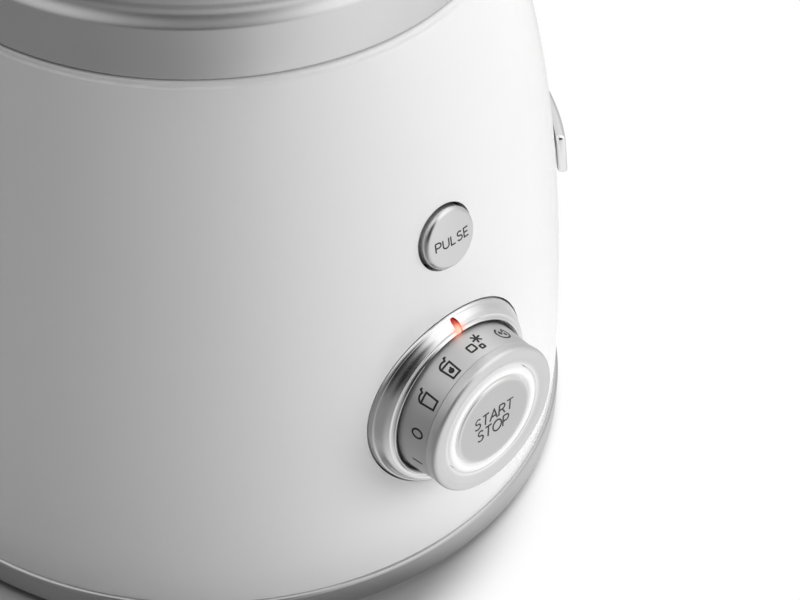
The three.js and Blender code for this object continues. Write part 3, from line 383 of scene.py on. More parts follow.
def makeRedLight():
    material, shader, spot = newFinish("redLight", tint(0.8, 0.12, 0.08), 0.35, Emission_Strength=0.85)
    core = (spot.moved(pointerSpot).length() * 1000).band(0.3, 2.2, 1, 0)
    feed(
        shader,
        Base_Color=core.colours(tint(0.4, 0.04, 0.03), tint(0.75, 0.3, 0.22)),
        Emission_Color=core.colours(tint(0.25, 0.02, 0.012), tint(1.0, 0.48, 0.34)),
        Roughness=spot.noise(900).band(0.3, 0.7, 0.3, 0.42),
    )
    return material


def makeWhiteLight():
    material, shader, spot = newFinish("whiteLight", grey(0.35), 0.35, Emission_Strength=0.6)
    off = radiusRound(spot, dialCentre) - (ringLight.inner + ringLight.outer) / 2
    core = off.maths("ABSOLUTE", off).band(0.2, 1.05, 1, 0)
    feed(
        shader,
        Emission_Color=core.colours(grey(0.8), grey(1)),
        Roughness=spot.noise(800).band(0.3, 0.7, 0.3, 0.42),
    )
    return material


finishes = {
    "glossWhite": makeGlossWhite(),
    "collarMetal": makeSatinMetal("collarMetal", grey(0.72), 0.42),
    "ringMetal": makeSatinMetal("ringMetal", grey(0.5), 0.36),
    "dialMetal": makeSatinMetal("dialMetal", grey(0.66), 0.5),
    "faceMetal": makeLitSatin("faceMetal", grey(0.7), 0.45),
    "discMetal": makeLitSatin("discMetal", grey(0.56), 0.36),
    "pulseMetal": makeSatinMetal("pulseMetal", grey(0.66), 0.3),
    "bezelMetal": makeBezelMetal(),
    "trimMetal": makeSatinMetal("trimMetal", grey(0.8), 0.14, 0.000003, 0.04),
    "blackPlastic": makePlastic("blackPlastic", grey(0.013), 0.42),
    "lidPlastic": makePlastic("lidPlastic", grey(0.016), 0.3, 0.000015),
    "print": makePlastic("print", grey(0.02), 0.5, 0.000004, worn=0.0),
    "rubber": makePlastic("rubber", grey(0.02), 0.78, 0.00006, 900),
    "seal": makePlastic("seal", tint(0.7, 0.68, 0.64), 0.55, 0.00002, 1100),
    "castMetal": makeSatinMetal("castMetal", grey(0.45), 0.5, 0.00008, 0.12, 900),
    "shaftSteel": makeTurnedMetal("shaftSteel", grey(0.6), 0.24),
    "screwSteel": makeTurnedMetal("screwSteel", grey(0.5), 0.32),
    "bladeSteel": makeSatinMetal("bladeSteel", grey(0.68), 0.2, 0.000006, 0.08, 1900),
    "laminated": makeLaminated(),
    "copper": makeCopper(),
    "carbon": makePlastic("carbon", grey(0.03), 0.6, 0.00005, 1300),
    "board": makeBoard(),
    "redLight": makeRedLight(),
    "whiteLight": makeWhiteLight(),
    "clear": makeClear("clear", tint(0.9, 0.935, 0.945), 0.015),
}
print("finishes made:", len(finishes))


# a shape is a list of points in millimetres and a list of faces
def softened(corners, arcSteps=6):
    # corners are (radius, height) or (radius, height, rounding)
    path = []
    for i, corner in enumerate(corners):
        here = Vector(corner[:2])
        if len(corner) < 3:
            path.append(here)
            continue
        before = Vector(corners[i - 1][:2]) - here
        after = Vector(corners[(i + 1) % len(corners)][:2]) - here
        half = before.angle(after) / 2
        run = min(corner[2] / math.tan(half), 0.49 * before.length, 0.49 * after.length)
        rounding = run * math.tan(half)
        centre = here + (before.normalized() + after.normalized()).normalized() * (rounding / math.sin(half))
        start = here + before.normalized() * run - centre
        finish = here + after.normalized() * run - centre
        first = math.atan2(start.y, start.x)
        sweep = (math.atan2(finish.y, finish.x) - first + math.pi) % (2 * math.pi) - math.pi
        path += [centre + Vector((math.cos(angle), math.sin(angle))) * rounding
                 for angle in steps(first, first + sweep, arcSteps)]
    return path


def loftShape(rings, closed=False, ends=True):
    # a skin over rings that have equally many points
    count = len(rings[0])
    faces = []
    for i in range(len(rings) if closed else len(rings) - 1):
        low, high = count * i, count * ((i + 1) % len(rings))
        faces += [[low + k, low + (k + 1) % count, high + (k + 1) % count, high + k] for k in range(count)]
    if ends and not closed:
        last = count * (len(rings) - 1)
        faces += [list(range(count))[::-1], list(range(last, last + count))]
    return [point for ring in rings for point in ring], faces


def slabShape(tops, bottoms, columns):
    # a closed slab between two grids of points that have this many columns of faces
    wide = columns + 1
    rows = len(tops) // wide - 1
    under = len(tops)
    faces = []
    for j in range(rows):
        for a in range(j * wide, j * wide + columns):
            quad = [a, a + 1, a + wide + 1, a + wide]
            faces += [quad, [corner + under for corner in reversed(quad)]]
    last = rows * wide
    rim = [*range(columns), *range(columns, last + columns, wide), *range(last + columns, last, -1),
           *range(last, 0, -wide)]
    faces += [[a, b, b + under, a + under] for a, b in zip(rim, rim[1:] + rim[:1])]
    return tops + bottoms, faces


def turnedShape(profile, count=192):
    # points that coincide on the axis merge in the mesh
    ways = [polar(1, 360 * k / count) for k in range(count)]
    rings = [[Vector((r * x, r * y, z)) for x, y in ways] for r, z in profile]
    return loftShape(rings, closed=profile[0][0] > 1e-6, ends=False)


def rodShape(radius, z0, z1, count=64):
    return turnedShape([(0, z0), (radius, z0), (radius, z1), (0, z1)], count)


def prismShape(outline, z0, z1):
    return loftShape([[Vector((x, y, z)) for x, y in outline] for z in (z0, z1)])


def blockShape(x0, x1, y0, y1, z0, z1):
    return prismShape([(x0, y0), (x1, y0), (x1, y1), (x0, y1)], z0, z1)


def placed(shape, matrix):
    return [matrix @ point for point in shape[0]], shape[1]


def movedOut(shape, reach):
    return placed(shape, Matrix.Translation((reach, 0, 0)))


def turnedBy(shape, degrees):
    return placed(shape, Matrix.Rotation(math.radians(degrees), 4, "Z"))


def fourOf(shape, first=0):
    return [turnedBy(shape, first + quarter) for quarter in (0, 90, 180, 270)]


def joined(*shapes):
    points, faces = [], []
    for shape in shapes:
        start = len(points)
        points.extend(shape[0])
        faces.extend([corner + start for corner in face] for face in shape[1])
    return points, faces


def meshOf(name, shape):
    mesh = bpy.data.meshes.new(name)
    mesh.from_pydata([point * 0.001 for point in shape[0]], [], shape[1])
    work = bmesh.new()
    work.from_mesh(mesh)
    bmesh.ops.remove_doubles(work, verts=work.verts, dist=1e-7)
    bmesh.ops.recalc_face_normals(work, faces=work.faces)
    work.to_mesh(mesh)
    work.free()
    return mesh


def shapeOf(mesh):
    return [vertex.co * 1000 for vertex in mesh.vertices], [list(face.vertices) for face in mesh.polygons]


def objectOf(name, mesh):
    made = bpy.data.objects.new(name, mesh)
    bpy.context.scene.collection.objects.link(made)
    return made


def frozen(made, name):
    # the object's mesh with its modifiers applied, as a plain mesh
    graph = bpy.context.evaluated_depsgraph_get()
    mesh = bpy.data.meshes.new_from_object(made.evaluated_get(graph))
    mesh.name = name
    return mesh


def dropped(*objects):
    for item in objects:
        bpy.data.objects.remove(item, do_unlink=True)


def combined(shape, tools, operation):
    made = objectOf("work", meshOf("work", shape))
    cutters = [objectOf("cutter", meshOf("cutter", tool)) for tool in tools]
    for cutter in cutters:
        step = made.modifiers.new("step", "BOOLEAN")
        step.operation = operation
        step.solver = "EXACT"
        step.object = cutter
    whole = shapeOf(frozen(made, "worked"))
    dropped(made, *cutters)
    return whole


def carved(shape, *tools):
    return combined(shape, tools, "DIFFERENCE")


def fused(shape, *tools):
    return combined(shape, tools, "UNION")


def followNormals(mesh, normalAt):
    # true normals on the outer skin, whatever faces a cut has left there
    loops = [corner.vector.copy() for corner in mesh.corner_normals]
    for polygon in mesh.polygons:
        for loop in polygon.loop_indices:
            place = mesh.vertices[mesh.loops[loop].vertex_index].co * 1000
            loops[loop] = normalAt(polygon, place) or loops[loop]
    mesh.normals_split_custom_set(loops)


bevelSteps = 3
bevelAngle = 48  # edges sharper than this are rounded


def makePiece(name, shape, finish, body, *stands, bevel=0, smooth=32, normalAt=None):
    # the piece stands for the nodes in stands; edges sharper than smooth degrees stay crisp
    made = objectOf(name, meshOf(name, shape) if isinstance(shape, tuple) else shape)
    if bevel:
        edges = made.modifiers.new("edges", "BEVEL")
        edges.width = bevel * 0.001
        edges.segments = bevelSteps
        edges.limit_method = "ANGLE"
        edges.angle_limit = math.radians(bevelAngle)
        finer = frozen(made, name)
        made.modifiers.clear()
        made.data = finer
    mesh = made.data
    mesh.materials.clear()
    mesh.materials.append(finishes[finish])
    mesh.shade_smooth()
    mesh.set_sharp_from_angle(angle=math.radians(smooth))
    if normalAt:
        followNormals(mesh, normalAt)
    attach(made, body)
    if stands:
        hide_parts(*stands)


def copiesTree(name, numbers, spread):
    # a tree that sets copies of one piece on the spots that spread makes from its numbers
    tree = bpy.data.node_groups.new(name, "GeometryNodeTree")
    kinds = {"Piece": "Object", "Finish": "Material", **numbers}
    for label, kind in kinds.items():
        tree.interface.new_socket(label, in_out="INPUT", socket_type="NodeSocket" + kind)
    tree.interface.new_socket("Geometry", in_out="OUTPUT", socket_type="NodeSocketGeometry")
    entry = tree.nodes.new("NodeGroupInput")
    given = {label: Wire(tree, entry.outputs[label]) for label in kinds}
    piece = given["Piece"].node("GeometryNodeObjectInfo", {}, {"Object": given["Piece"]}, "Geometry")
    copies = piece.node("GeometryNodeInstanceOnPoints", {}, {"Instance": piece, **spread(given)})
    whole = piece.node("GeometryNodeRealizeInstances", {}, {"Geometry": copies})
    dressed = piece.node("GeometryNodeSetMaterial", {}, {"Geometry": whole, "Material": given["Finish"]})
    tree.links.new(dressed.socket, tree.nodes.new("NodeGroupOutput").inputs[0])
    return tree


def ringSpread(given):
    count, first = given["Count"], given["First Angle"]
    circle = count.node("GeometryNodeMeshCircle", {}, {"Vertices": count, "Radius": given["Radius"]})
    start = first.node("ShaderNodeCombineXYZ", {}, {2: first})
    spots = circle.node("GeometryNodeTransform", {}, {"Geometry": circle, "Rotation": start})
    turn = first.node("GeometryNodeInputIndex") * (2 * math.pi / count) + first
    return {"Points": spots, "Rotation": turn.node("ShaderNodeCombineXYZ", {}, {2: turn})}


def gridSpread(given):
    sides = {"Size X": "Column Span", "Size Y": "Row Span", "Vertices X": "Columns", "Vertices Y": "Rows"}
    inputs = {side: given[label] for side, label in sides.items()}
    return {"Points": given["Rows"].node("GeometryNodeMeshGrid", {}, inputs)}


ringTree = copiesTree("ringOfCopies", {"Count": "Int", "Radius": "Float", "First Angle": "Float"}, ringSpread)
gridTree = copiesTree(
    "gridOfCopies", {"Columns": "Int", "Rows": "Int", "Column Span": "Float", "Row Span": "Float"}, gridSpread
)


def copiesOf(shape, tree, finish, given):
    piece = objectOf("pattern", meshOf("pattern", shape))
    holder = objectOf("holder", bpy.data.meshes.new("holder"))
    step = holder.modifiers.new("copies", "NODES")
    step.node_group = tree
    names = {item.name: item.identifier for item in tree.interface.items_tree if item.in_out == "INPUT"}
    for name, value in {"Piece": piece, "Finish": finishes[finish], **given}.items():
        step[names[name]] = value
    mesh = frozen(holder, "copies")
    dropped(piece, holder)
    return mesh


def ringOf(shape, finish, count, radius, first=0):
    given = {"Count": count, "Radius": radius * 0.001, "First Angle": math.radians(first)}
    return copiesOf(shape, ringTree, finish, given)


def gridOf(shape, finish, columns, rows, columnSpan, rowSpan):
    spans = {"Column Span": columnSpan * 0.001, "Row Span": rowSpan * 0.001}
    return copiesOf(shape, gridTree, finish, {"Columns": columns, "Rows": rows, **spans})


def makeHousing():
    size = housingSize
    low, top = housingLow.z, housingHigh.z
    outside = [(bodyRadius(z), z) for z in steps(low + 1, top - size.edge, 60)]
    rounding = [polar(size.edge, degrees) for degrees in range(18, 91, 9)]
    edge = [(bodyRadius(top) - size.edge + 0.05 + out, top - size.edge + up) for out, up in rounding]
    inside = [(bodyRadius(z) - size.wall, z) for z in steps(size.lipLow, low + size.flangeThickness, 24)]
    flange = size.bottomRadius - size.wall - size.flange
    shell = turnedShape(softened([
        (flange, low), (size.bottomRadius - size.footInset, low, size.footEdge), *outside, *edge,
        (size.deckHole, top, 0.3), (size.deckHole, size.lipTop), (size.lip, size.lipTop),
        (size.lip, size.lipLow), *inside, (flange, low + size.flangeThickness),
    ]), 240)
    oval = Matrix.Diagonal((bezelSize.wide, bezelSize.high, 1, 1))
    oval = Matrix.Translation((0, bezelSize.raised, 0)) @ oval
    bezelHole = placed(rodShape(bezelSize.radius + bezelSize.gap, -16, 8, 160), dialPlace @ oval)
    flared = [(0, -8), (size.pulseHole, -8), (size.pulseHole, 0.1), (size.pulseHole + 0.3, 1.2), (0, 8)]
    pulseHole = placed(turnedShape(flared, 128), pulsePlace)
    glandHole = placed(rodShape(size.glandHole, 40, 120, 64), lyingAt(0, 0, glandHeight))
    skin = carved(shell, bezelHole, pulseHole, glandHole)
    boss = turnedShape([(1.9, 5.5), (4.5, 5.5), (4.5, 25.5), (1.9, 22)], 24)
    posts = []
    for x in (-size.postSpread, size.postSpread):
        for z in size.postHeights:
            wallY = math.sqrt((bodyRadius(z) - 1.5) ** 2 - x ** 2)
            length = wallY - (bodyRadius(dialHeight) - size.postDepth) - 0.3
            posts.append(placed(rodShape(size.postRadius, 0, length, 24), lyingAt(x, -wallY, z)))

    def normalAt(polygon, place):
        reach = math.hypot(place.x, place.y)
        if abs(reach - bodyRadius(place.z)) > 0.06 or not low + 0.9 < place.z < top - size.edge + 0.2:
            return None
        slope = bodyRadius(place.z + 0.5) - bodyRadius(place.z - 0.5)
        true = Vector((place.x / reach, place.y / reach, -slope)).normalized()
        return true if polygon.normal.dot(true) > 0.9 else None

    whole = joined(skin, *fourOf(movedOut(boss, size.screwCircle)), *posts)
    makePiece("motor_housing_shell", whole, "glossWhite", "motor_base", "motor_housing", normalAt=normalAt)


makeHousing()
print("housing made")


baseSize = Sizes(
    ringInner=76.6, ringRound=0.8, coverRadius=76.3, neckInner=73.3, coverLow=2, coverTop=5.2, neckTop=8.7,
    footCircle=60, vents=5, ventPitch=7, ventLength=34, ventWidth=3.5, glandBore=3.5, glandRadius=7,
    glandFlange=9.5,
)


def makeBase():
    size = baseSize
    ringLow, ringHigh = boxOf("base_ring")
    band = turnedShape(softened([
        (size.ringInner, ringLow.z), (ringHigh.x, ringLow.z, 0.35), (ringHigh.x, ringHigh.z, size.ringRound),
        (size.ringInner, ringHigh.z),
    ], 10), 240)
    makePiece("base_ring_band", band, "ringMetal", "motor_base", "base_ring")

    plate = turnedShape(softened([
        (0, size.coverLow), (size.coverRadius, size.coverLow, 0.5), (size.coverRadius, size.neckTop, 0.3),
        (size.neckInner, size.neckTop), (size.neckInner, size.coverTop), (0, size.coverTop),
    ]))
    half, end = (size.ventLength - size.ventWidth) / 2, size.ventWidth / 2
    outline = [(x + dx, dy) for x, first in ((half, -90), (-half, 90))
               for dx, dy in (polar(end, first + turn) for turn in range(0, 181, 20))]
    vents = gridOf(prismShape(outline, 0, 8), "blackPlastic", 2, size.vents,
                   size.ventLength + 2 * size.ventPitch, (size.vents - 1) * size.ventPitch)
    socket = turnedShape([(0, 0), (8.3, 0), (8.3, 3.5), (2.8, 3.5), (2.8, 7), (0, 7)], 48)
    sunk = turnedShape([(0, 0), (3.5, 0), (3.5, 4), (1.9, 4), (1.9, 7), (0, 7)], 32)
    sockets = ringOf(socket, "blackPlastic", 4, size.footCircle, 45)
    heads = ringOf(sunk, "blackPlastic", 4, housingSize.screwCircle)
    cover = carved(plate, shapeOf(vents), shapeOf(sockets), shapeOf(heads))
    makePiece("bottom_cover_plate", cover, "blackPlastic", "motor_base", "bottom_cover")

    foot = turnedShape(softened([
        (0, 0.4), (3.4, 0.4), (3.9, 0, 0.2), (5.0, 0, 0.2), (5.4, 0.4), (5.9, 0.4), (6.3, 0, 0.2),
        (7.4, 0, 0.5), (8, 1.0, 0.5), (8, 3.2, 0.3), (2.5, 3.2), (2.5, 8.2, 0.5), (0, 8.2),
    ], 4), 64)
    feet = ringOf(foot, "rubber", 4, size.footCircle, 45)
    makePiece("rubber_feet", feet, "rubber", "motor_base", "foot_1", "foot_2", "foot_3", "foot_4")

    head = turnedShape(softened([
        (0, 2.0), (2.2, 2.05, 0.8), (3.2, 2.5, 0.3), (3.2, 3.7), (1.6, 3.7), (1.6, 18.2, 0.5), (0, 18.2),
    ]), 40)
    cross = blockShape(-1.7, 1.7, -0.35, 0.35, 1, 3.1)
    screw = carved(head, cross, turnedBy(cross, 90))
    screws = ringOf(screw, "screwSteel", 4, housingSize.screwCircle)
    makePiece("cover_screws", screws, "screwSteel", "motor_base",
              "cover_screw_1", "cover_screw_2", "cover_screw_3", "cover_screw_4")

    glandLow, glandHigh = boxOf("cord_gland")
    front, back = glandLow.y, glandHigh.y
    gland = turnedShape(softened([
        (size.glandBore, front), (size.glandFlange, front, 0.5), (size.glandFlange, front + 2, 0.3),
        (size.glandRadius, front + 2), (size.glandRadius, back - 1.4, 0.2), (6.5, back - 1.1),
        (6.5, back - 0.8), (6.9, back - 0.5, 0.2), (6.3, back, 0.4), (3.9, back, 0.4),
        (size.glandBore, back - 0.8),
    ]), 72)
    gland = placed(gland, lyingAt(0, 0, glandHeight))
    makePiece("cord_gland_collar", gland, "rubber", "motor_base", "cord_gland")


makeBase()
print("base made")


# the deck carries the jug, and the drive coupling turns in its well
deckSize = Sizes(
    radius=54.5, low=128.5, top=131.3, bossTop=27, bossFoot=30, bossHeight=12, well=19, wellFloor=132.8,
    shaftHole=5, ribWidth=8, ribHeight=9, ribReach=51, pinHole=2.4, pinReach=45, postRadius=4, postLow=122.8,
    postReach=44.86,
)
couplingSize = Sizes(bore=4.3, radius=17, plate=4, dogs=6, dogOuter=16, dogInner=8, dogHalf=13, dogHeight=8)


def makeDeck():
    size = deckSize
    bossHeight = size.top + size.bossHeight
    plate = turnedShape(softened([
        (size.shaftHole, size.low), (size.radius, size.low), (size.radius, size.top, 0.4),
        (size.bossFoot + 0.3, size.top, 1.2), (size.bossTop, bossHeight, 1.0), (size.well, bossHeight, 0.8),
        (size.well, size.wellFloor, 0.8), (size.shaftHole, size.wellFloor),
    ]), 160)
    half = size.ribWidth / 2
    rib = blockShape(size.bossTop - 1, size.ribReach, -half, half, size.top - 1, size.top + size.ribHeight)
    hole = movedOut(rodShape(size.pinHole, size.low - 1, size.top + 1, 40), size.pinReach)
    post = movedOut(rodShape(size.postRadius, size.postLow, size.low + 1, 24), size.postReach)
    deck = fused(carved(plate, hole), *fourOf(rib, 45), *fourOf(post, 45))
    makePiece("jug_deck", deck, "blackPlastic", "motor_base", "top_deck", bevel=0.45)


def makeCoupling(name, node, body, plateLow, dogLow, firstAngle):
    size = couplingSize
    ring = turnedShape(softened([
        (size.bore, plateLow), (size.radius, plateLow, 0.5), (size.radius, plateLow + size.plate, 0.5),
        (size.bore, plateLow + size.plate),
    ]), 96)
    outline = [polar(size.dogOuter, turn) for turn in range(-size.dogHalf, size.dogHalf + 1, 2)]
    outline += [polar(size.dogInner, turn) for turn in range(size.dogHalf, -size.dogHalf - 1, -4)]
    dog = prismShape(outline, dogLow, dogLow + size.dogHeight)
    dogs = ringOf(dog, "blackPlastic", size.dogs, 0, firstAngle)
    makePiece(name, joined(ring, shapeOf(dogs)), "blackPlastic", body, node, bevel=0.4)


makeDeck()
makeCoupling("drive_half", "drive_coupling", "rotor", 133.8, 137.3, 0)
makeCoupling("driven_half", "driven_coupling", "blade_unit", 145.9, 138.4, 30)
print("deck and coupling made")


bezelRelief = [  # how far the face stands off the plain bell, from rim to mouth
    (0, -0.3), (0.06, 0.0), (0.14, -0.1), (0.36, 0.3), (0.55, 0.2), (0.67, -0.06), (0.73, -0.06), (0.8, 0.12),
    (0.87, -0.1), (0.93, -0.55), (1, -1.4),
]


def between(table, t):
    for (t0, v0), (t1, v1) in zip(table, table[1:]):
        if t <= t1:
            return v0 + (v1 - v0) * smoothStep((t - t0) / (t1 - t0))
    return table[-1][1]


def bellShare(reach):
    return min(1, max(0, (bezelSize.radius - reach) / (bezelSize.radius - bezelSize.mouth)))


def bellSpot(x, y):
    # the rim is a little wider than it is high
    size = bezelSize
    rim = 1 - bellShare(math.hypot(x, y))
    return x * (1 + (size.wide - 1) * rim), y * (1 + (size.high - 1) * rim) + size.raised * rim


def bellDepth(x, y):
    # the plain bell follows the wall at its rim and is level at its mouth
    size = bezelSize
    t = bellShare(math.hypot(x, y))
    x, y = bellSpot(x, y)
    rim = math.sqrt(bodyRadius(dialHeight + y) ** 2 - x ** 2) - bodyRadius(dialHeight) + size.proud
    return rim + (size.front - rim) * (smoothStep(t) * 0.35 + t * 0.65) + size.swell * math.sin(math.pi * t)


def makeBezel():
    size = bezelSize
    faceMark = 100  # stands for the bell's depth until each point's place is known
    points, faces = turnedShape([
        (size.radius, -size.depth), *[(r, faceMark) for r in steps(size.radius, size.mouth, 44)],
        (size.well, size.front - 0.8), (size.well, size.floor), (size.hub, size.floor),
        (size.hub, size.floor - size.web), (size.well, size.floor - size.web), (size.well, -size.depth),
    ], 240)
    for point in points:
        if point.z > faceMark - 1:
            relief = between(bezelRelief, bellShare(math.hypot(point.x, point.y)))
            point.z = bellDepth(point.x, point.y) + relief
        point.x, point.y = bellSpot(point.x, point.y)
    half = pointerSize.width / 2 + 0.12
    outline = [(x, pointerSize.bend + y) for x, y in (polar(half, turn) for turn in range(0, 181, 12))]
    slot = placed(prismShape(outline + [(-half, 17), (half, 17)], -2.2, 4), pointerTurn)
    bell = placed(carved((points, faces), slot), dialPlace)
    makePiece("dial_bezel_bell", bell, "bezelMetal", "motor_base", "dial_bezel", smooth=40)


def makePointer():
    size = pointerSize
    half, columns = size.width / 2, 12
    tops = []
    for y in steps(size.start, size.bend + half, 24):
        width = half * math.sqrt(max(0.0004, 1 - (max(0, y - size.bend) / half) ** 2))
        for side in steps(-1, 1, columns):
            spot = pointerTurn @ Vector((side * width, y, 0))
            depth = bellDepth(spot.x, spot.y) - size.sunk + size.crown * (1 - side * side)
            tops.append(Vector((*bellSpot(spot.x, spot.y), depth)))
    glow = slabShape(tops, [Vector((top.x, top.y, size.foot)) for top in tops], columns)
    makePiece("pointer_glow", placed(glow, dialPlace), "redLight", "motor_base", "pointer_light")


dialSize = Sizes(
    shaft=5.7, hub=7.2, radius=17.65, frontRadius=17.2, taperLow=0.8, taperTop=8.45, skirt=15.4, back=-4.4,
    inner=13.2, groove=8.53, front=11.35, stem=3.1, discRadius=10.5, dish=11.12, dishRise=0.0016,
)


def makeDial():
    size = dialSize
    sleeve = turnedShape(softened([
        (size.shaft, -14), (size.hub, -14), (size.hub, 2.3), (size.skirt, 2.3), (size.skirt, size.back),
        (size.radius, size.back, 0.3), (size.radius, size.taperLow, 2),
        (size.frontRadius, size.taperTop, 0.08), (size.inner, size.taperTop), (size.inner, 4.6),
        (size.shaft, 4.6),
    ]))
    makePiece("dial_sleeve", placed(sleeve, dialPlace), "dialMetal", "dial_knob", "dial")
    face = turnedShape(softened([
        (size.inner, size.groove), (17.3, size.groove, 0.1), (17.45, size.front, 1.85),
        (15.2, size.front, 1.6), (14.0, 10.85, 1.0), (size.inner, 10.8, 0.15),
    ], 10))
    makePiece("dial_face_ring", placed(face, dialPlace), "faceMetal", "dial_knob", "dial_front_ring")
    lit = turnedShape(softened([
        (3.5, -18), (5.3, -18), (5.3, 5.0), (ringLight.outer, 5.0), (ringLight.outer, ringLight.front, 0.6),
        (ringLight.inner, ringLight.front, 0.6), (ringLight.inner, 7), (3.5, 7),
    ], 8))
    makePiece("lit_ring", placed(lit, dialPlace), "whiteLight", "motor_base", "light_ring")
    disc = turnedShape(softened([
        (0, -14.5), (1.2, -14.5), (1.2, -12.5), (size.stem, -12.5), (size.stem, 8.6), (size.discRadius, 8.6),
        (size.discRadius, 11.3, 0.6), (9.4, 11.3, 2), (4, size.dish, 4), (0, 11.08),
    ], 8))
    makePiece("start_stop_disc", placed(disc, dialPlace), "discMetal", "start_key", "start_button")


pulseSize = Sizes(radius=6.8, edge=1.15, crown=0.4, front=1.6)


def pulseFront(reach):
    size = pulseSize
    flat = size.radius - size.edge
    if reach <= flat:
        return size.front + size.crown * (1 - (reach / flat) ** 2)
    return size.front - size.edge * (1 - math.sqrt(max(0, 1 - ((reach - flat) / size.edge) ** 2)))


def makePulse():
    dome = [pulseSize.radius * (1 - share ** 1.7) for share in steps(0, 1, 40)]
    profile = [(0, -9), (1.2, -9), (1.2, -5.9), (2, -5.9), (2, -2.5), (6.6, -2.5), (6.8, -2.3)]
    key = turnedShape(profile + [(r, pulseFront(r)) for r in dome], 160)
    makePiece("pulse_key_disc", placed(key, pulsePlace), "pulseMetal", "pulse_key", "pulse_button")


makeBezel()
makePointer()
makeDial()
makePulse()
print("dial and buttons made")


# words and pictures are printed as strokes
def bow(x, y, rx, ry, start, stop, count=14):
    turns = [polar(1, angle) for angle in steps(start, stop, count)]
    return [(x + rx * across, y + ry * up) for across, up in turns]


letters = {  # width and strokes of each letter, one unit high
    "P": (0.56, [[(0, 0), (0, 1)], [(0, 1), (0.3, 1), *bow(0.3, 0.73, 0.25, 0.27, 90, -90)[1:], (0, 0.46)]]),
    "U": (0.66, [[(0, 1), (0, 0.34), *bow(0.31, 0.32, 0.31, 0.32, 180, 360)[1:], (0.62, 1)]]),
    "L": (0.5, [[(0, 1), (0, 0), (0.46, 0)]]),
    "S": (0.6, [[*bow(0.28, 0.755, 0.24, 0.245, 28, 250), *bow(0.28, 0.265, 0.28, 0.265, 78, -152)]]),
    "E": (0.54, [[(0.5, 1), (0, 1), (0, 0), (0.52, 0)], [(0, 0.52), (0.44, 0.52)]]),
    "T": (0.62, [[(0, 1), (0.62, 1)], [(0.31, 1), (0.31, 0)]]),
    "A": (0.74, [[(0, 0), (0.37, 1), (0.74, 0)], [(0.13, 0.33), (0.61, 0.33)]]),
    "R": (0.6, [[(0, 0), (0, 1)], [(0, 1), (0.3, 1), *bow(0.3, 0.74, 0.25, 0.26, 90, -90)[1:], (0, 0.48)],
                [(0.32, 0.48), (0.6, 0)]]),
    "O": (0.86, [bow(0.43, 0.5, 0.43, 0.51, 0, 360, 36)]),
}
markSize = Sizes(
    pitch=26, middle=5.5, arc=17.5, stroke=0.46, wordStroke=0.36, pulseStroke=0.33, wordHeight=2.9,
    startUp=1.75, stopUp=-2.1, pulseHeight=2.05, pulseStretch=1.22,
)


def wordStrokes(word, height, spacing, stretch=1.0, up=0):
    pen = -(sum(letters[c][0] for c in word) + spacing * (len(word) - 1)) / 2
    strokes = []
    for c in word:
        width, lines = letters[c]
        for line in lines:
            strokes.append([((x + pen) * height * stretch, (y - 0.5) * height + up) for x, y in line])
        pen += width + spacing
    return strokes


def strokeShape(strokes, width, onto, depth=0.08, proud=0.025):
    # each stroke becomes a thin closed strip that lies on a surface
    shapes = []
    for stroke in strokes:
        path = [Vector(spot) for spot in stroke]
        closed = (path[0] - path[-1]).length < 1e-6
        fine = []
        for here, there in zip(path, path[1:]):
            cuts = max(1, int((there - here).length / 0.5))
            fine += [here.lerp(there, k / cuts) for k in range(cuts)]
        if not closed:
            fine.append(path[-1])
        rings = []
        for i, here in enumerate(fine):
            before = fine[i - 1] if closed or i > 0 else here
            after = fine[(i + 1) % len(fine)] if closed or i < len(fine) - 1 else here
            ways = [way.normalized() for way in (here - before, after - here) if way.length > 0]
            sides = [Vector((-way.y, way.x)) for way in ways]
            mean = sum(sides, Vector((0, 0))).normalized()
            half = mean * width / 2 * min(2.0, 1 / max(0.3, mean.dot(sides[0])))
            rings.append([onto(*(here + half * side), rise)
                          for side, rise in ((1, proud), (-1, proud), (-1, -depth), (1, -depth))])
        shapes.append(loftShape(rings, closed))
    return joined(*shapes)


def onDisc(u, v, rise):
    return dialPlace @ Vector((u, v, dialSize.dish + dialSize.dishRise * (u * u + v * v) + rise))


def onPulse(u, v, rise):
    return pulsePlace @ Vector((u, v, pulseFront(math.hypot(u, v)) + rise))


def onSleeve(angle):
    size = dialSize

    def place(u, v, rise):
        z = markSize.middle - v
        taper = min(1, max(0, (z - size.taperLow) / (size.taperTop - size.taperLow)))
        reach = size.radius + (size.frontRadius - size.radius) * taper + rise
        return dialPlace @ Vector((*polar(reach, 90 - angle - math.degrees(u / markSize.arc)), z))
    return place


def jugStrokes():
    cup = [(-1.6, 1.4), (-1.4, -1.9), (0.7, -1.9), (0.9, 1.4), (-1.6, 1.4)]
    domed = bow(-0.35, 1.4, 1.25, 1.0, 180, 45)
    straw = [(0.35, 2.15), (0.75, 2.85), (1.2, 2.7)]
    return [cup, domed, straw]


def fruitStrokes():
    ring = [bow(-0.35, -0.4, 0.42, 0.42, 0, 360, 18), bow(-0.35, -0.4, 0.14, 0.14, 0, 360, 12)]
    return ring + [[(-0.2, -0.05), (0.15, 0.4)]]


def iceStrokes():
    cubes = []
    for x, y, half in ((-1.6, 0.2, 0.85), (0.55, -0.8, 0.48)):
        corner = half * 0.3
        cube = []
        for sx, sy, start in ((1, 1, 0), (-1, 1, 90), (-1, -1, 180), (1, -1, 270)):
            middle = (x + sx * (half - corner), y + sy * (half - corner))
            cube += bow(*middle, corner, corner, start, start + 90, 4)
        cubes.append(cube + cube[:1])
    arms = [polar(1.3, angle) for angle in (15, 75, 135)]
    flake = [[(1.1 + dx, 1.65 + dy), (1.1 - dx, 1.65 - dy)] for dx, dy in arms]
    return cubes + flake


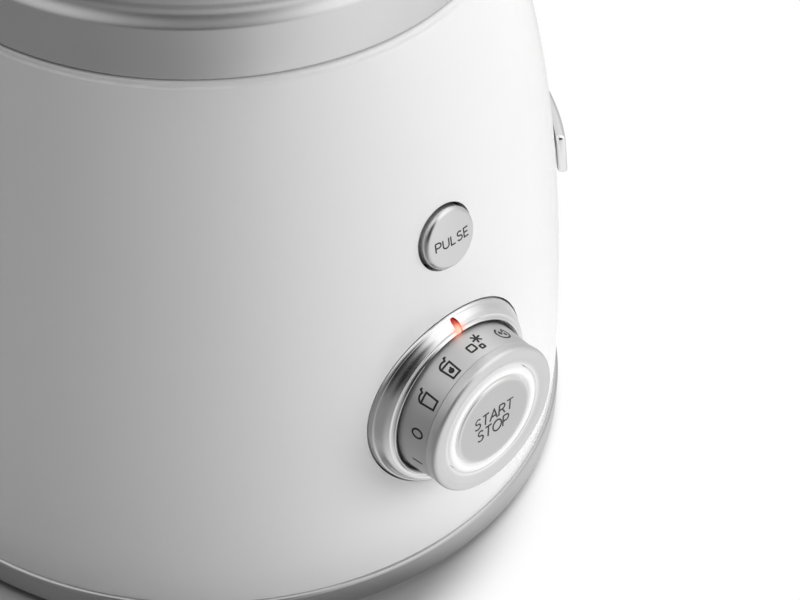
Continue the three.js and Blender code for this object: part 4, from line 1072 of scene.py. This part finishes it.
def cleanStrokes():
    stars = []
    for x, y, size in ((-0.3, 0.7, 0.6), (0.9, 0.2, 0.45), (0.8, 1.25, 0.3)):
        stars += [[(x - size, y), (x + size, y)], [(x, y - size), (x, y + size)]]
    return [bow(0.25, 0.5, 1.85, 1.6, 115, 425, 30), *stars]


def makePrint():
    size = markSize
    pictures = [
        cleanStrokes(), iceStrokes(), jugStrokes() + fruitStrokes(), jugStrokes(),
        [bow(-0.2, -0.15, 1.0, 1.32, 0, 360, 32)], [[(-0.4, -1.6), (-0.4, 1.1)]],
    ]
    marks = [strokeShape(strokes, size.stroke, onSleeve(size.pitch * (1 - i)))
             for i, strokes in enumerate(pictures)]
    makePiece("dial_marks", joined(*marks), "print", "dial_knob", smooth=60)
    words = wordStrokes("START", size.wordHeight, 0.17, up=size.startUp)
    words += wordStrokes("STOP", size.wordHeight, 0.17, up=size.stopUp)
    words = strokeShape(words, size.wordStroke, onDisc)
    makePiece("start_stop_words", words, "print", "start_key", smooth=60)
    word = wordStrokes("PULSE", size.pulseHeight, 0.2, size.pulseStretch)
    word = strokeShape(word, size.pulseStroke, onPulse)
    makePiece("pulse_word", word, "print", "pulse_key", smooth=60)


makePrint()
print("print made")


trimSize = Sizes(low=61, high=71, first=48, last=95, stand=2.6, gap=0.3)


def makeTrimBar():
    # the bar has no lettering
    size = trimSize
    corners = [(size.low, size.gap), (size.low, size.stand), (size.high, size.stand), (size.high, size.gap)]
    rings = [[Vector((*polar(bodyRadius(z) + stand, angle), z)) for z, stand in corners]
             for angle in steps(size.first - 90, size.last - 90, 56)]
    makePiece("blank_trim_bar", loftShape(rings), "trimMetal", "motor_base", "side_trim_bar", bevel=0.8)


makeTrimBar()


# heights in the collar are above the housing's top
collarSize = Sizes(
    skirt=61.6, waist=58.8, shoulder=60, low=0.3, skirtTop=11.5, coveTop=16, top=40, mouth=52.9, mouthLow=32,
    lean=0.65, coveLean=0.95, coveDip=1.35, lip=2, webLow=21, webTop=24.3, webHole=26, wall=3, lugReach=42,
    lugHalf=4, lugLow=1.5, lugTop=9.5, sensingTop=4.5, lugGap=0.4,
)


def makeCollar():
    size = collarSize
    inner, waist = size.skirt - size.wall, size.waist - size.wall
    foot, climb = size.skirtTop - 0.4, size.coveTop - size.skirtTop + 1.2
    lip, rise = size.mouth + size.lip, size.top - size.coveTop - 2.2
    skirt = [(size.skirt - size.lean * smoothStep(t), above(1.2 + (size.skirtTop - 2.2) * t))
             for t in steps(0, 1, 10)]
    cove = [(size.skirt - size.lean - size.coveLean * t - size.coveDip * math.sin(math.pi * t) ** 1.5,
             above(foot + climb * t)) for t in steps(0, 1, 18)]
    quarter = [polar(1, 90 * t) for t in steps(0, 1, 24)][1:-1]
    bell = [(size.shoulder + (lip - size.shoulder) * (1 - level), above(size.coveTop + 1.6 + rise * up))
            for level, up in quarter]
    shell = turnedShape(softened([
        (inner, above(size.low)), (size.skirt - 0.05, above(size.low), 0.7), *skirt, *cove, *bell,
        (lip - 0.3, above(size.top), 0.6), (size.mouth, above(size.top), 0.5),
        (size.mouth, above(size.mouthLow)), (waist, above(size.webTop)), (size.webHole, above(size.webTop)),
        (size.webHole, above(size.webLow)), (waist, above(size.webLow)), (waist, above(size.skirtTop)),
    ]), 240)
    half, lugLow = size.lugHalf, above(size.lugLow)
    lug, sensing = (blockShape(size.lugReach, inner + 1, -half, half, lugLow, above(top))
                    for top in (size.lugTop, size.sensingTop))
    lugTurn = 45 + math.degrees((2 * size.lugHalf + size.lugGap) / size.lugReach)
    collar = joined(shell, *fourOf(lug, lugTurn), sensing)
    makePiece("jug_collar_shell", collar, "collarMetal", "jug_unit", "jug_collar")


def makeCarrier():
    low, high = heightsOf("blade_carrier")
    carrier = turnedShape(softened([
        (7.35, low), (25.7, low, 0.3), (25.7, low + 1), (40, low + 1, 0.4), (40, low + 4.4, 0.4),
        (22.7, low + 4.4), (22.7, high - 3, 2.5), (10.4, high, 1.2), (7.35, high, 0.3),
    ]), 144)
    makePiece("blade_carrier_body", carrier, "blackPlastic", "jug_unit", "blade_carrier")
    low, high = heightsOf("jug_gasket")
    seal = turnedShape(softened([(24, low, 0.6), (34, low, 0.6), (34, high, 0.6), (24, high, 0.6)]), 128)
    makePiece("jug_seal", seal, "seal", "jug_unit", "jug_gasket")
    low, high = heightsOf("bearing_sleeve")
    sleeve = turnedShape(softened([
        (4.4, low), (7.05, low, 0.3), (7.05, high - 1.6), (9.4, high - 1.6, 0.3), (9.4, high, 0.5),
        (4.4, high, 0.3),
    ]), 96)
    makePiece("bearing_sleeve_turned", sleeve, "shaftSteel", "jug_unit", "bearing_sleeve")


makeCollar()
makeCarrier()
print("collar made")


bladeSize = Sizes(thickness=1.6, hub=8.5, bore=4.3, grind=3.2, edge=0.25, half=6, taper=7.2, tip=3.6)


def makeBlades(name, node, reach, bend, first):
    size = bladeSize
    low, high = heightsOf(node)
    bottom = low if bend > 0 else high - size.thickness
    top = bottom + size.thickness
    edges = [(size.bore, bottom), (size.hub, bottom, 0.2), (size.hub, top, 0.2), (size.bore, top)]
    hub = turnedShape(softened(edges), 64)
    columns, root = 12, size.hub - 1
    away, up = polar(1, bend)
    tops, bottoms = [], []
    for s in steps(0, 1, 26):
        along = (reach - root) * s
        ease = min(1, along / 5)
        over, out = polar(1, bend * ease)
        x, z = root + along * away, bottom + along * up * (0.5 + 0.5 * ease)
        leading = 0.4 * s - size.half
        trailing = size.half - size.taper * s - size.tip * (max(0, s - 0.9) / 0.1) ** 2
        for y in steps(leading, trailing, columns):
            thick = size.edge + (size.thickness - size.edge) * min(1, (y - leading) / size.grind)
            tops.append(Vector((x - out * thick, y, z + over * thick)))
            bottoms.append(Vector((x, y, z)))
    wing = slabShape(tops, bottoms, columns)
    pair = joined(hub, turnedBy(wing, first), turnedBy(wing, first + 180))
    makePiece(name, pair, "bladeSteel", "blade_unit", node, smooth=25)


def makeNut():
    low, high = heightsOf("blade_nut")
    flats, dome, crown = 7, 6, 1.4
    nut = prismShape([polar(flats, turn) for turn in range(0, 360, 60)], low, high - crown)
    nut = carved(nut, rodShape(bladeSize.bore, low - 1, high - 2, 48))
    arc = [(polar(dome, turn)[0], high - crown + polar(crown, turn)[1]) for turn in range(0, 90, 10)]
    cap = turnedShape([(0, high - 2), (dome, high - 2), *arc, (0, high)], 64)
    makePiece("blade_cap_nut", joined(nut, cap), "bladeSteel", "blade_unit", "blade_nut", bevel=0.35)


makeBlades("lower_blade_pair", "lower_blades", 33, -6, 0)
makeBlades("upper_blade_pair", "upper_blades", 28, 30, 90)
makeNut()
print("blades made")


jugLow, jugHigh = boxOf("jug")
jugSize = Sizes(
    footRadius=51.5, rimRadius=64, swell=2.5, wall=3, floor=4, hole=23, neckInner=40.4, neckWall=4,
    floorLow=162.5, rimEdge=1.2, spoutPush=11, spoutHalf=24, spoutDepth=42, handleWidth=22,
    handleThickness=11, handleReach=108, handleLean=9, handleTop=205, handleLow=78, handleCorner=24,
    handleBite=1.6, handleSquare=0.72,
)


def jugSide(z):
    size = jugSize
    t = (z - size.floorLow) / (jugHigh.z - size.floorLow)
    return size.footRadius + (size.rimRadius - size.footRadius) * t + 4 * size.swell * t * (1 - t)


def withSpout(shape, limit):
    # pushes out what lies beyond the limit, on the side away from the handle
    size = jugSize
    for point in shape[0]:
        r = math.hypot(point.x, point.y)
        if r >= limit:
            off = abs(math.degrees(math.atan2(point.y, -point.x)))
            rise = (point.z - (jugHigh.z - size.spoutDepth)) / size.spoutDepth
            push = size.spoutPush * smoothStep(1 - off / size.spoutHalf) * smoothStep(rise)
            point.xy *= (r + push) / r
    return shape


def curve(a, b, c, count=16):
    # a bend from a to c with its corner at b, without its last point
    return [a * (1 - t) ** 2 + b * 2 * t * (1 - t) + c * t * t for t in steps(0, 1, count)[:-1]]


def handleShape():
    size = jugSize
    upper, lower = above(size.handleTop), above(size.handleLow)
    reach, lowReach, corner = size.handleReach, size.handleReach - size.handleLean, size.handleCorner
    spots = [Vector(spot) for spot in (
        (jugSide(upper) - size.handleBite, upper), (reach - corner, upper), (reach, upper),
        (reach, upper - corner), (lowReach, lower + corner), (lowReach, lower), (lowReach - corner, lower),
        (jugSide(lower) - size.handleBite, lower),
    )]

    def straight(a, b, count):
        return [a.lerp(b, t) for t in steps(0, 1, count)[:-1]]

    route = [*straight(spots[0], spots[1], 8), *curve(*spots[1:4]), *straight(spots[3], spots[4], 18),
             *curve(*spots[4:7]), *straight(spots[6], spots[7], 8), spots[7]]
    section = []
    for across, along in (polar(1, 9 * k) for k in range(40)):
        a = size.handleThickness / 2 * math.copysign(abs(across) ** size.handleSquare, across)
        section.append((a, size.handleWidth / 2 * math.copysign(abs(along) ** size.handleSquare, along)))
    rings = []
    for i, here in enumerate(route):
        way = (route[min(i + 1, len(route) - 1)] - route[max(i - 1, 0)]).normalized()
        rings.append([Vector((here.x + way.y * a, b, here.y - way.x * a)) for a, b in section])
    return loftShape(rings)


def makeJug():
    size = jugSize
    floorLow, floorTop, neckLow, rim = size.floorLow, size.floorLow + size.floor, jugLow.z, jugHigh.z
    outside = [(jugSide(z), z) for z in steps(floorLow + size.floor, rim - size.rimEdge, 44)]
    inside = [(jugSide(z) - size.wall, z) for z in steps(rim - size.rimEdge, floorTop + 9, 40)]
    inner, outer = size.neckInner, size.neckInner + size.neckWall
    body = turnedShape(softened([
        (size.hole, floorLow), (inner, floorLow), (inner, neckLow), (outer, neckLow, 0.5),
        (outer, floorLow, 0.5), (size.footRadius - 0.2, floorLow, 3), *outside, (jugSide(rim), rim, 0.9),
        (jugSide(rim) - size.wall, rim, 0.9), *inside, (size.footRadius - size.wall - 0.4, floorTop, 7),
        (size.hole, floorTop),
    ], 8))
    jug = fused(withSpout(body, size.hole + 1), handleShape())
    makePiece("clear_jug", jug, "clear", "jug_unit", "jug", smooth=34)


makeJug()
print("jug made")


lidSize = Sizes(
    low=360.3, skirt=58.2, skirtDepth=14, skirtWall=3, brim=68.5, brimHeight=9, crown=13, wall=3.5, well=22.8,
    wellWall=3, wellDrop=2, grooveDepth=1.4, grooveLow=6.3, grooveTop=1.7, sealInner=57.1,
)


def makeLid():
    size = lidSize
    low, brimTop, crown = size.low, size.low + size.brimHeight, size.low + size.crown
    inner, groove = size.skirt - size.skirtWall, size.skirt - size.grooveDepth
    wellLow, wellOuter = low - size.wellDrop, size.well + size.wellWall
    shell = turnedShape(softened([
        (inner, low - size.skirtDepth), (size.skirt, low - size.skirtDepth, 0.6),
        (size.skirt, low - size.grooveLow), (groove, low - size.grooveLow), (groove, low - size.grooveTop),
        (size.skirt, low - size.grooveTop), (size.skirt, low), (size.brim, low, 0.8),
        (size.brim, brimTop, 3.4), (size.brim * 0.8, crown - 0.8, 8), (size.brim * 0.62, crown, 8),
        (size.well + 5.5, crown, 0.8), (size.well + 4.9, crown - 0.6, 0.3), (size.well, crown - 0.6, 0.4),
        (size.well, wellLow, 0.4), (wellOuter, wellLow, 0.4), (wellOuter, crown - size.wall),
        (inner, brimTop - size.wall),
    ], 8))
    makePiece("lid_shell", withSpout(shell, size.skirt + 1), "lidPlastic", "lid_unit", "lid")

    sealLow, sealHigh = boxOf("lid_gasket")
    reach, low = sealHigh.x, sealLow.z
    seal = turnedShape(softened([
        (size.sealInner, low), (reach - 1.4, low, 0.3), (reach, low + 0.9, 0.4),
        (reach - 1.2, low + 1.9, 0.3), (reach, low + 2.9, 0.4), (reach - 1.4, sealHigh.z, 0.3),
        (size.sealInner, sealHigh.z),
    ], 5))
    makePiece("lid_seal", seal, "seal", "lid_unit", "lid_gasket")

    low, top = heightsOf("filler_cap")
    seat = low + 22
    cap = turnedShape(softened([
        (0, low), (22.4, low, 2), (22.4, seat, 0.2), (27, seat, 0.6), (27, seat + 3, 1.1),
        (20.6, seat + 3, 1), (20, top, 0.8), (17.8, top, 0.6), (19.6, low + 3.4, 2.4), (17.2, low + 2.2, 2),
        (0, low + 2.2),
    ], 7), 144)
    makePiece("clear_filler_cap", cap, "clear", "cap_unit", "filler_cap")


makeLid()
print("lid and cap made")


# the solids that keep their shape get their finishes
keptFinishes = {
    "castMetal": ["upper_bracket", "lower_bracket"],
    "screwSteel": ["motor_bolt_1", "motor_bolt_2"],
    "laminated": ["stator_core", "rotor_core"],
    "copper": ["field_coil_rear", "field_coil_front", "rotor_winding", "commutator"],
    "shaftSteel": ["motor_shaft", "blade_shaft", "upper_bearing", "lower_bearing"],
    "blackPlastic": [
        "brush_holder_left", "brush_holder_right", "dial_encoder", "start_switch", "pulse_switch",
        "sensing_switch", "cooling_fan", "sensing_pin",
    ],
    "carbon": ["carbon_brush_left", "carbon_brush_right"],
    "board": ["control_board"],
}
for finish, nodes in keptFinishes.items():
    for node in nodes:
        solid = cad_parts[node]
        solid.data.materials.clear()
        solid.data.materials.append(finishes[finish])
print("kept solids dressed")


# the room and the camera are in metres, with the lens in millimetres
studio = Sizes(
    ambient=0.14,  # plain light from all around
    mirrored=0.25,  # what polished parts see on the dark side of the room
    panels=[  # towards, the cosines where the panel starts and is full, and its brightness in a reflection
        ((0.768, -0.641, 0.0), -0.2, 0.9, 0.52),
        ((0.0, -1.0, 0.0), 0.2, 0.95, 0.3),
        ((0.0, 0.0, 1.0), 0.2, 0.9, 0.93),
    ],
    shade=((-0.56, -0.62, 0.55), 0.74, 0.96, 0.97),  # a dark screen, which takes this share away
    # the floor's grey near the base is a painted shadow, darker than floorGrey; it fades out between
    # shadowFrom and shadowTo round a spot off the middle towards -x and the front, and in a narrow band round
    # the base's edge
    floorHalf=6, floorGrey=0.9, floorNear=0.5, shadowCentre=(-0.020, -0.013, 0), shadowFrom=0.069,
    shadowTo=0.087, edgeFrom=0.079, edgeTo=0.0835, lampDistance=1.5, lampAcross=0.9, lampAim=0.12,
)
lamps = {  # azimuth, elevation and power; azimuth 0 is in front of the dial, 90 to its right
    "frontLamp": (22, 26, 8.6),
    "lowLamp": (38, 8, 5.3),
    "highLamp": (80, 58, 6.1),
    "sideLamp": (120, 28, 11.8),
    "backLamp": (205, 50, 4),
}
cameraSize = Sizes(
    azimuth=-44.921, elevation=40.829, roll=1.500, distance=0.5916, aim=(0.02551, -0.03624, 0.03217),
    lens=116.27,
)


def wayTo(azimuth, elevation):
    level, up = polar(1, elevation)
    ahead, side = polar(level, azimuth)
    return Vector((side, -ahead, up))


def facing(way, towards, start, full):
    return way.vectors("DOT_PRODUCT", Vector(towards), "Value").band(start, full)


def roomSeen(way):
    # grey that a polished surface sees in a direction: bright panels in a darker room
    level = studio.mirrored
    for towards, start, full, brightness in studio.panels:
        level = facing(way, towards, start, full) * brightness + level
    towards, start, full, share = studio.shade
    level = level * (1 - facing(way, towards, start, full) * share)
    return way.node("ShaderNodeCombineColor", {}, {"Red": level, "Green": level, "Blue": level})


def rays(tree, kind):
    return wireFrom(tree, "ShaderNodeLightPath", f"Is {kind} Ray")


def makeFloor():
    mesh = bpy.data.meshes.new("floor")
    half = studio.floorHalf
    corners = [(-half, -half, 0), (half, -half, 0), (half, half, 0), (-half, half, 0)]
    mesh.from_pydata(corners, [], [[0, 1, 2, 3]])
    material, shader, spot = newFinish("paleFloor", grey(studio.floorGrey), 0.7)
    tree = material.node_tree
    glossy, through = rays(tree, "Glossy"), rays(tree, "Transmission")
    seen = rays(tree, "Camera") + through + glossy
    # painted shadow: near the base the floor takes a darker colour and shows its own lit shading, which
    # carries the lamps' real shadow; farther out it shows white to camera and transmission rays and the
    # room's panels to glossy rays
    far = spot.moved(studio.shadowCentre).length().band(studio.shadowFrom, studio.shadowTo)
    far = far * spot.length().band(studio.edgeFrom, studio.edgeTo)
    feed(shader, Base_Color=far.colours(grey(studio.floorNear), grey(studio.floorGrey)))
    colour = (glossy * (1 - through)).colours(grey(1), roomSeen(spot.vectors("NORMALIZE")))
    white = spot.node("ShaderNodeEmission", {}, {"Color": colour, "Strength": 1.0})
    share = seen.maths("MINIMUM", seen, 1) * far
    mixed = spot.node("ShaderNodeMixShader", {}, {0: share, 1: Wire(tree, shader.outputs[0]), 2: white})
    tree.links.new(mixed.socket, tree.nodes["Material Output"].inputs["Surface"])
    mesh.materials.append(material)
    floor = objectOf("floor", mesh)


def makeWorld():
    world = bpy.data.worlds.new("studio")
    bpy.context.scene.world = world
    world.use_nodes = True
    tree = world.node_tree
    clear = rays(tree, "Camera") + rays(tree, "Transmission")
    room = roomSeen(wireFrom(tree, "ShaderNodeTexCoord", "Generated"))
    around = rays(tree, "Glossy").colours(grey(studio.ambient), room)
    seen = clear.maths("MINIMUM", clear, 1).colours(around, grey(1))
    tree.links.new(seen.socket, tree.nodes["Background"].inputs["Color"])
    tree.nodes["Background"].inputs["Strength"].default_value = 1.0


def makeLamps():
    for name, (azimuth, elevation, power) in lamps.items():
        light = bpy.data.lights.new(name, "AREA")
        light.shape = "DISK"
        light.size = studio.lampAcross
        light.energy = power
        way = wayTo(azimuth, elevation)
        holder = objectOf(name, light)
        holder.location = Vector((0, 0, studio.lampAim)) + way * studio.lampDistance
        holder.rotation_mode = "QUATERNION"
        holder.rotation_quaternion = (-way).to_track_quat("-Z", "Y")
        holder.visible_glossy = False  # reflections come from the room's panels


def makeCamera():
    size = cameraSize
    back = wayTo(size.azimuth, size.elevation)
    right = Vector((*polar(1, size.azimuth), 0))
    level, tilt = polar(1, size.roll)
    up = back.cross(right)
    data = bpy.data.cameras.new("camera")
    data.sensor_width = 36
    data.lens = size.lens
    data.clip_start, data.clip_end = 0.01, 50
    camera = objectOf("camera", data)
    turn = Matrix((right * level + up * tilt, up * level - right * tilt, back)).transposed().to_4x4()
    camera.matrix_world = Matrix.Translation(Vector(size.aim) + back * size.distance) @ turn
    bpy.context.scene.camera = camera


makeFloor()
makeWorld()
makeLamps()
makeCamera()
bpy.context.scene.view_settings.view_transform = "Standard"
print("stage made")
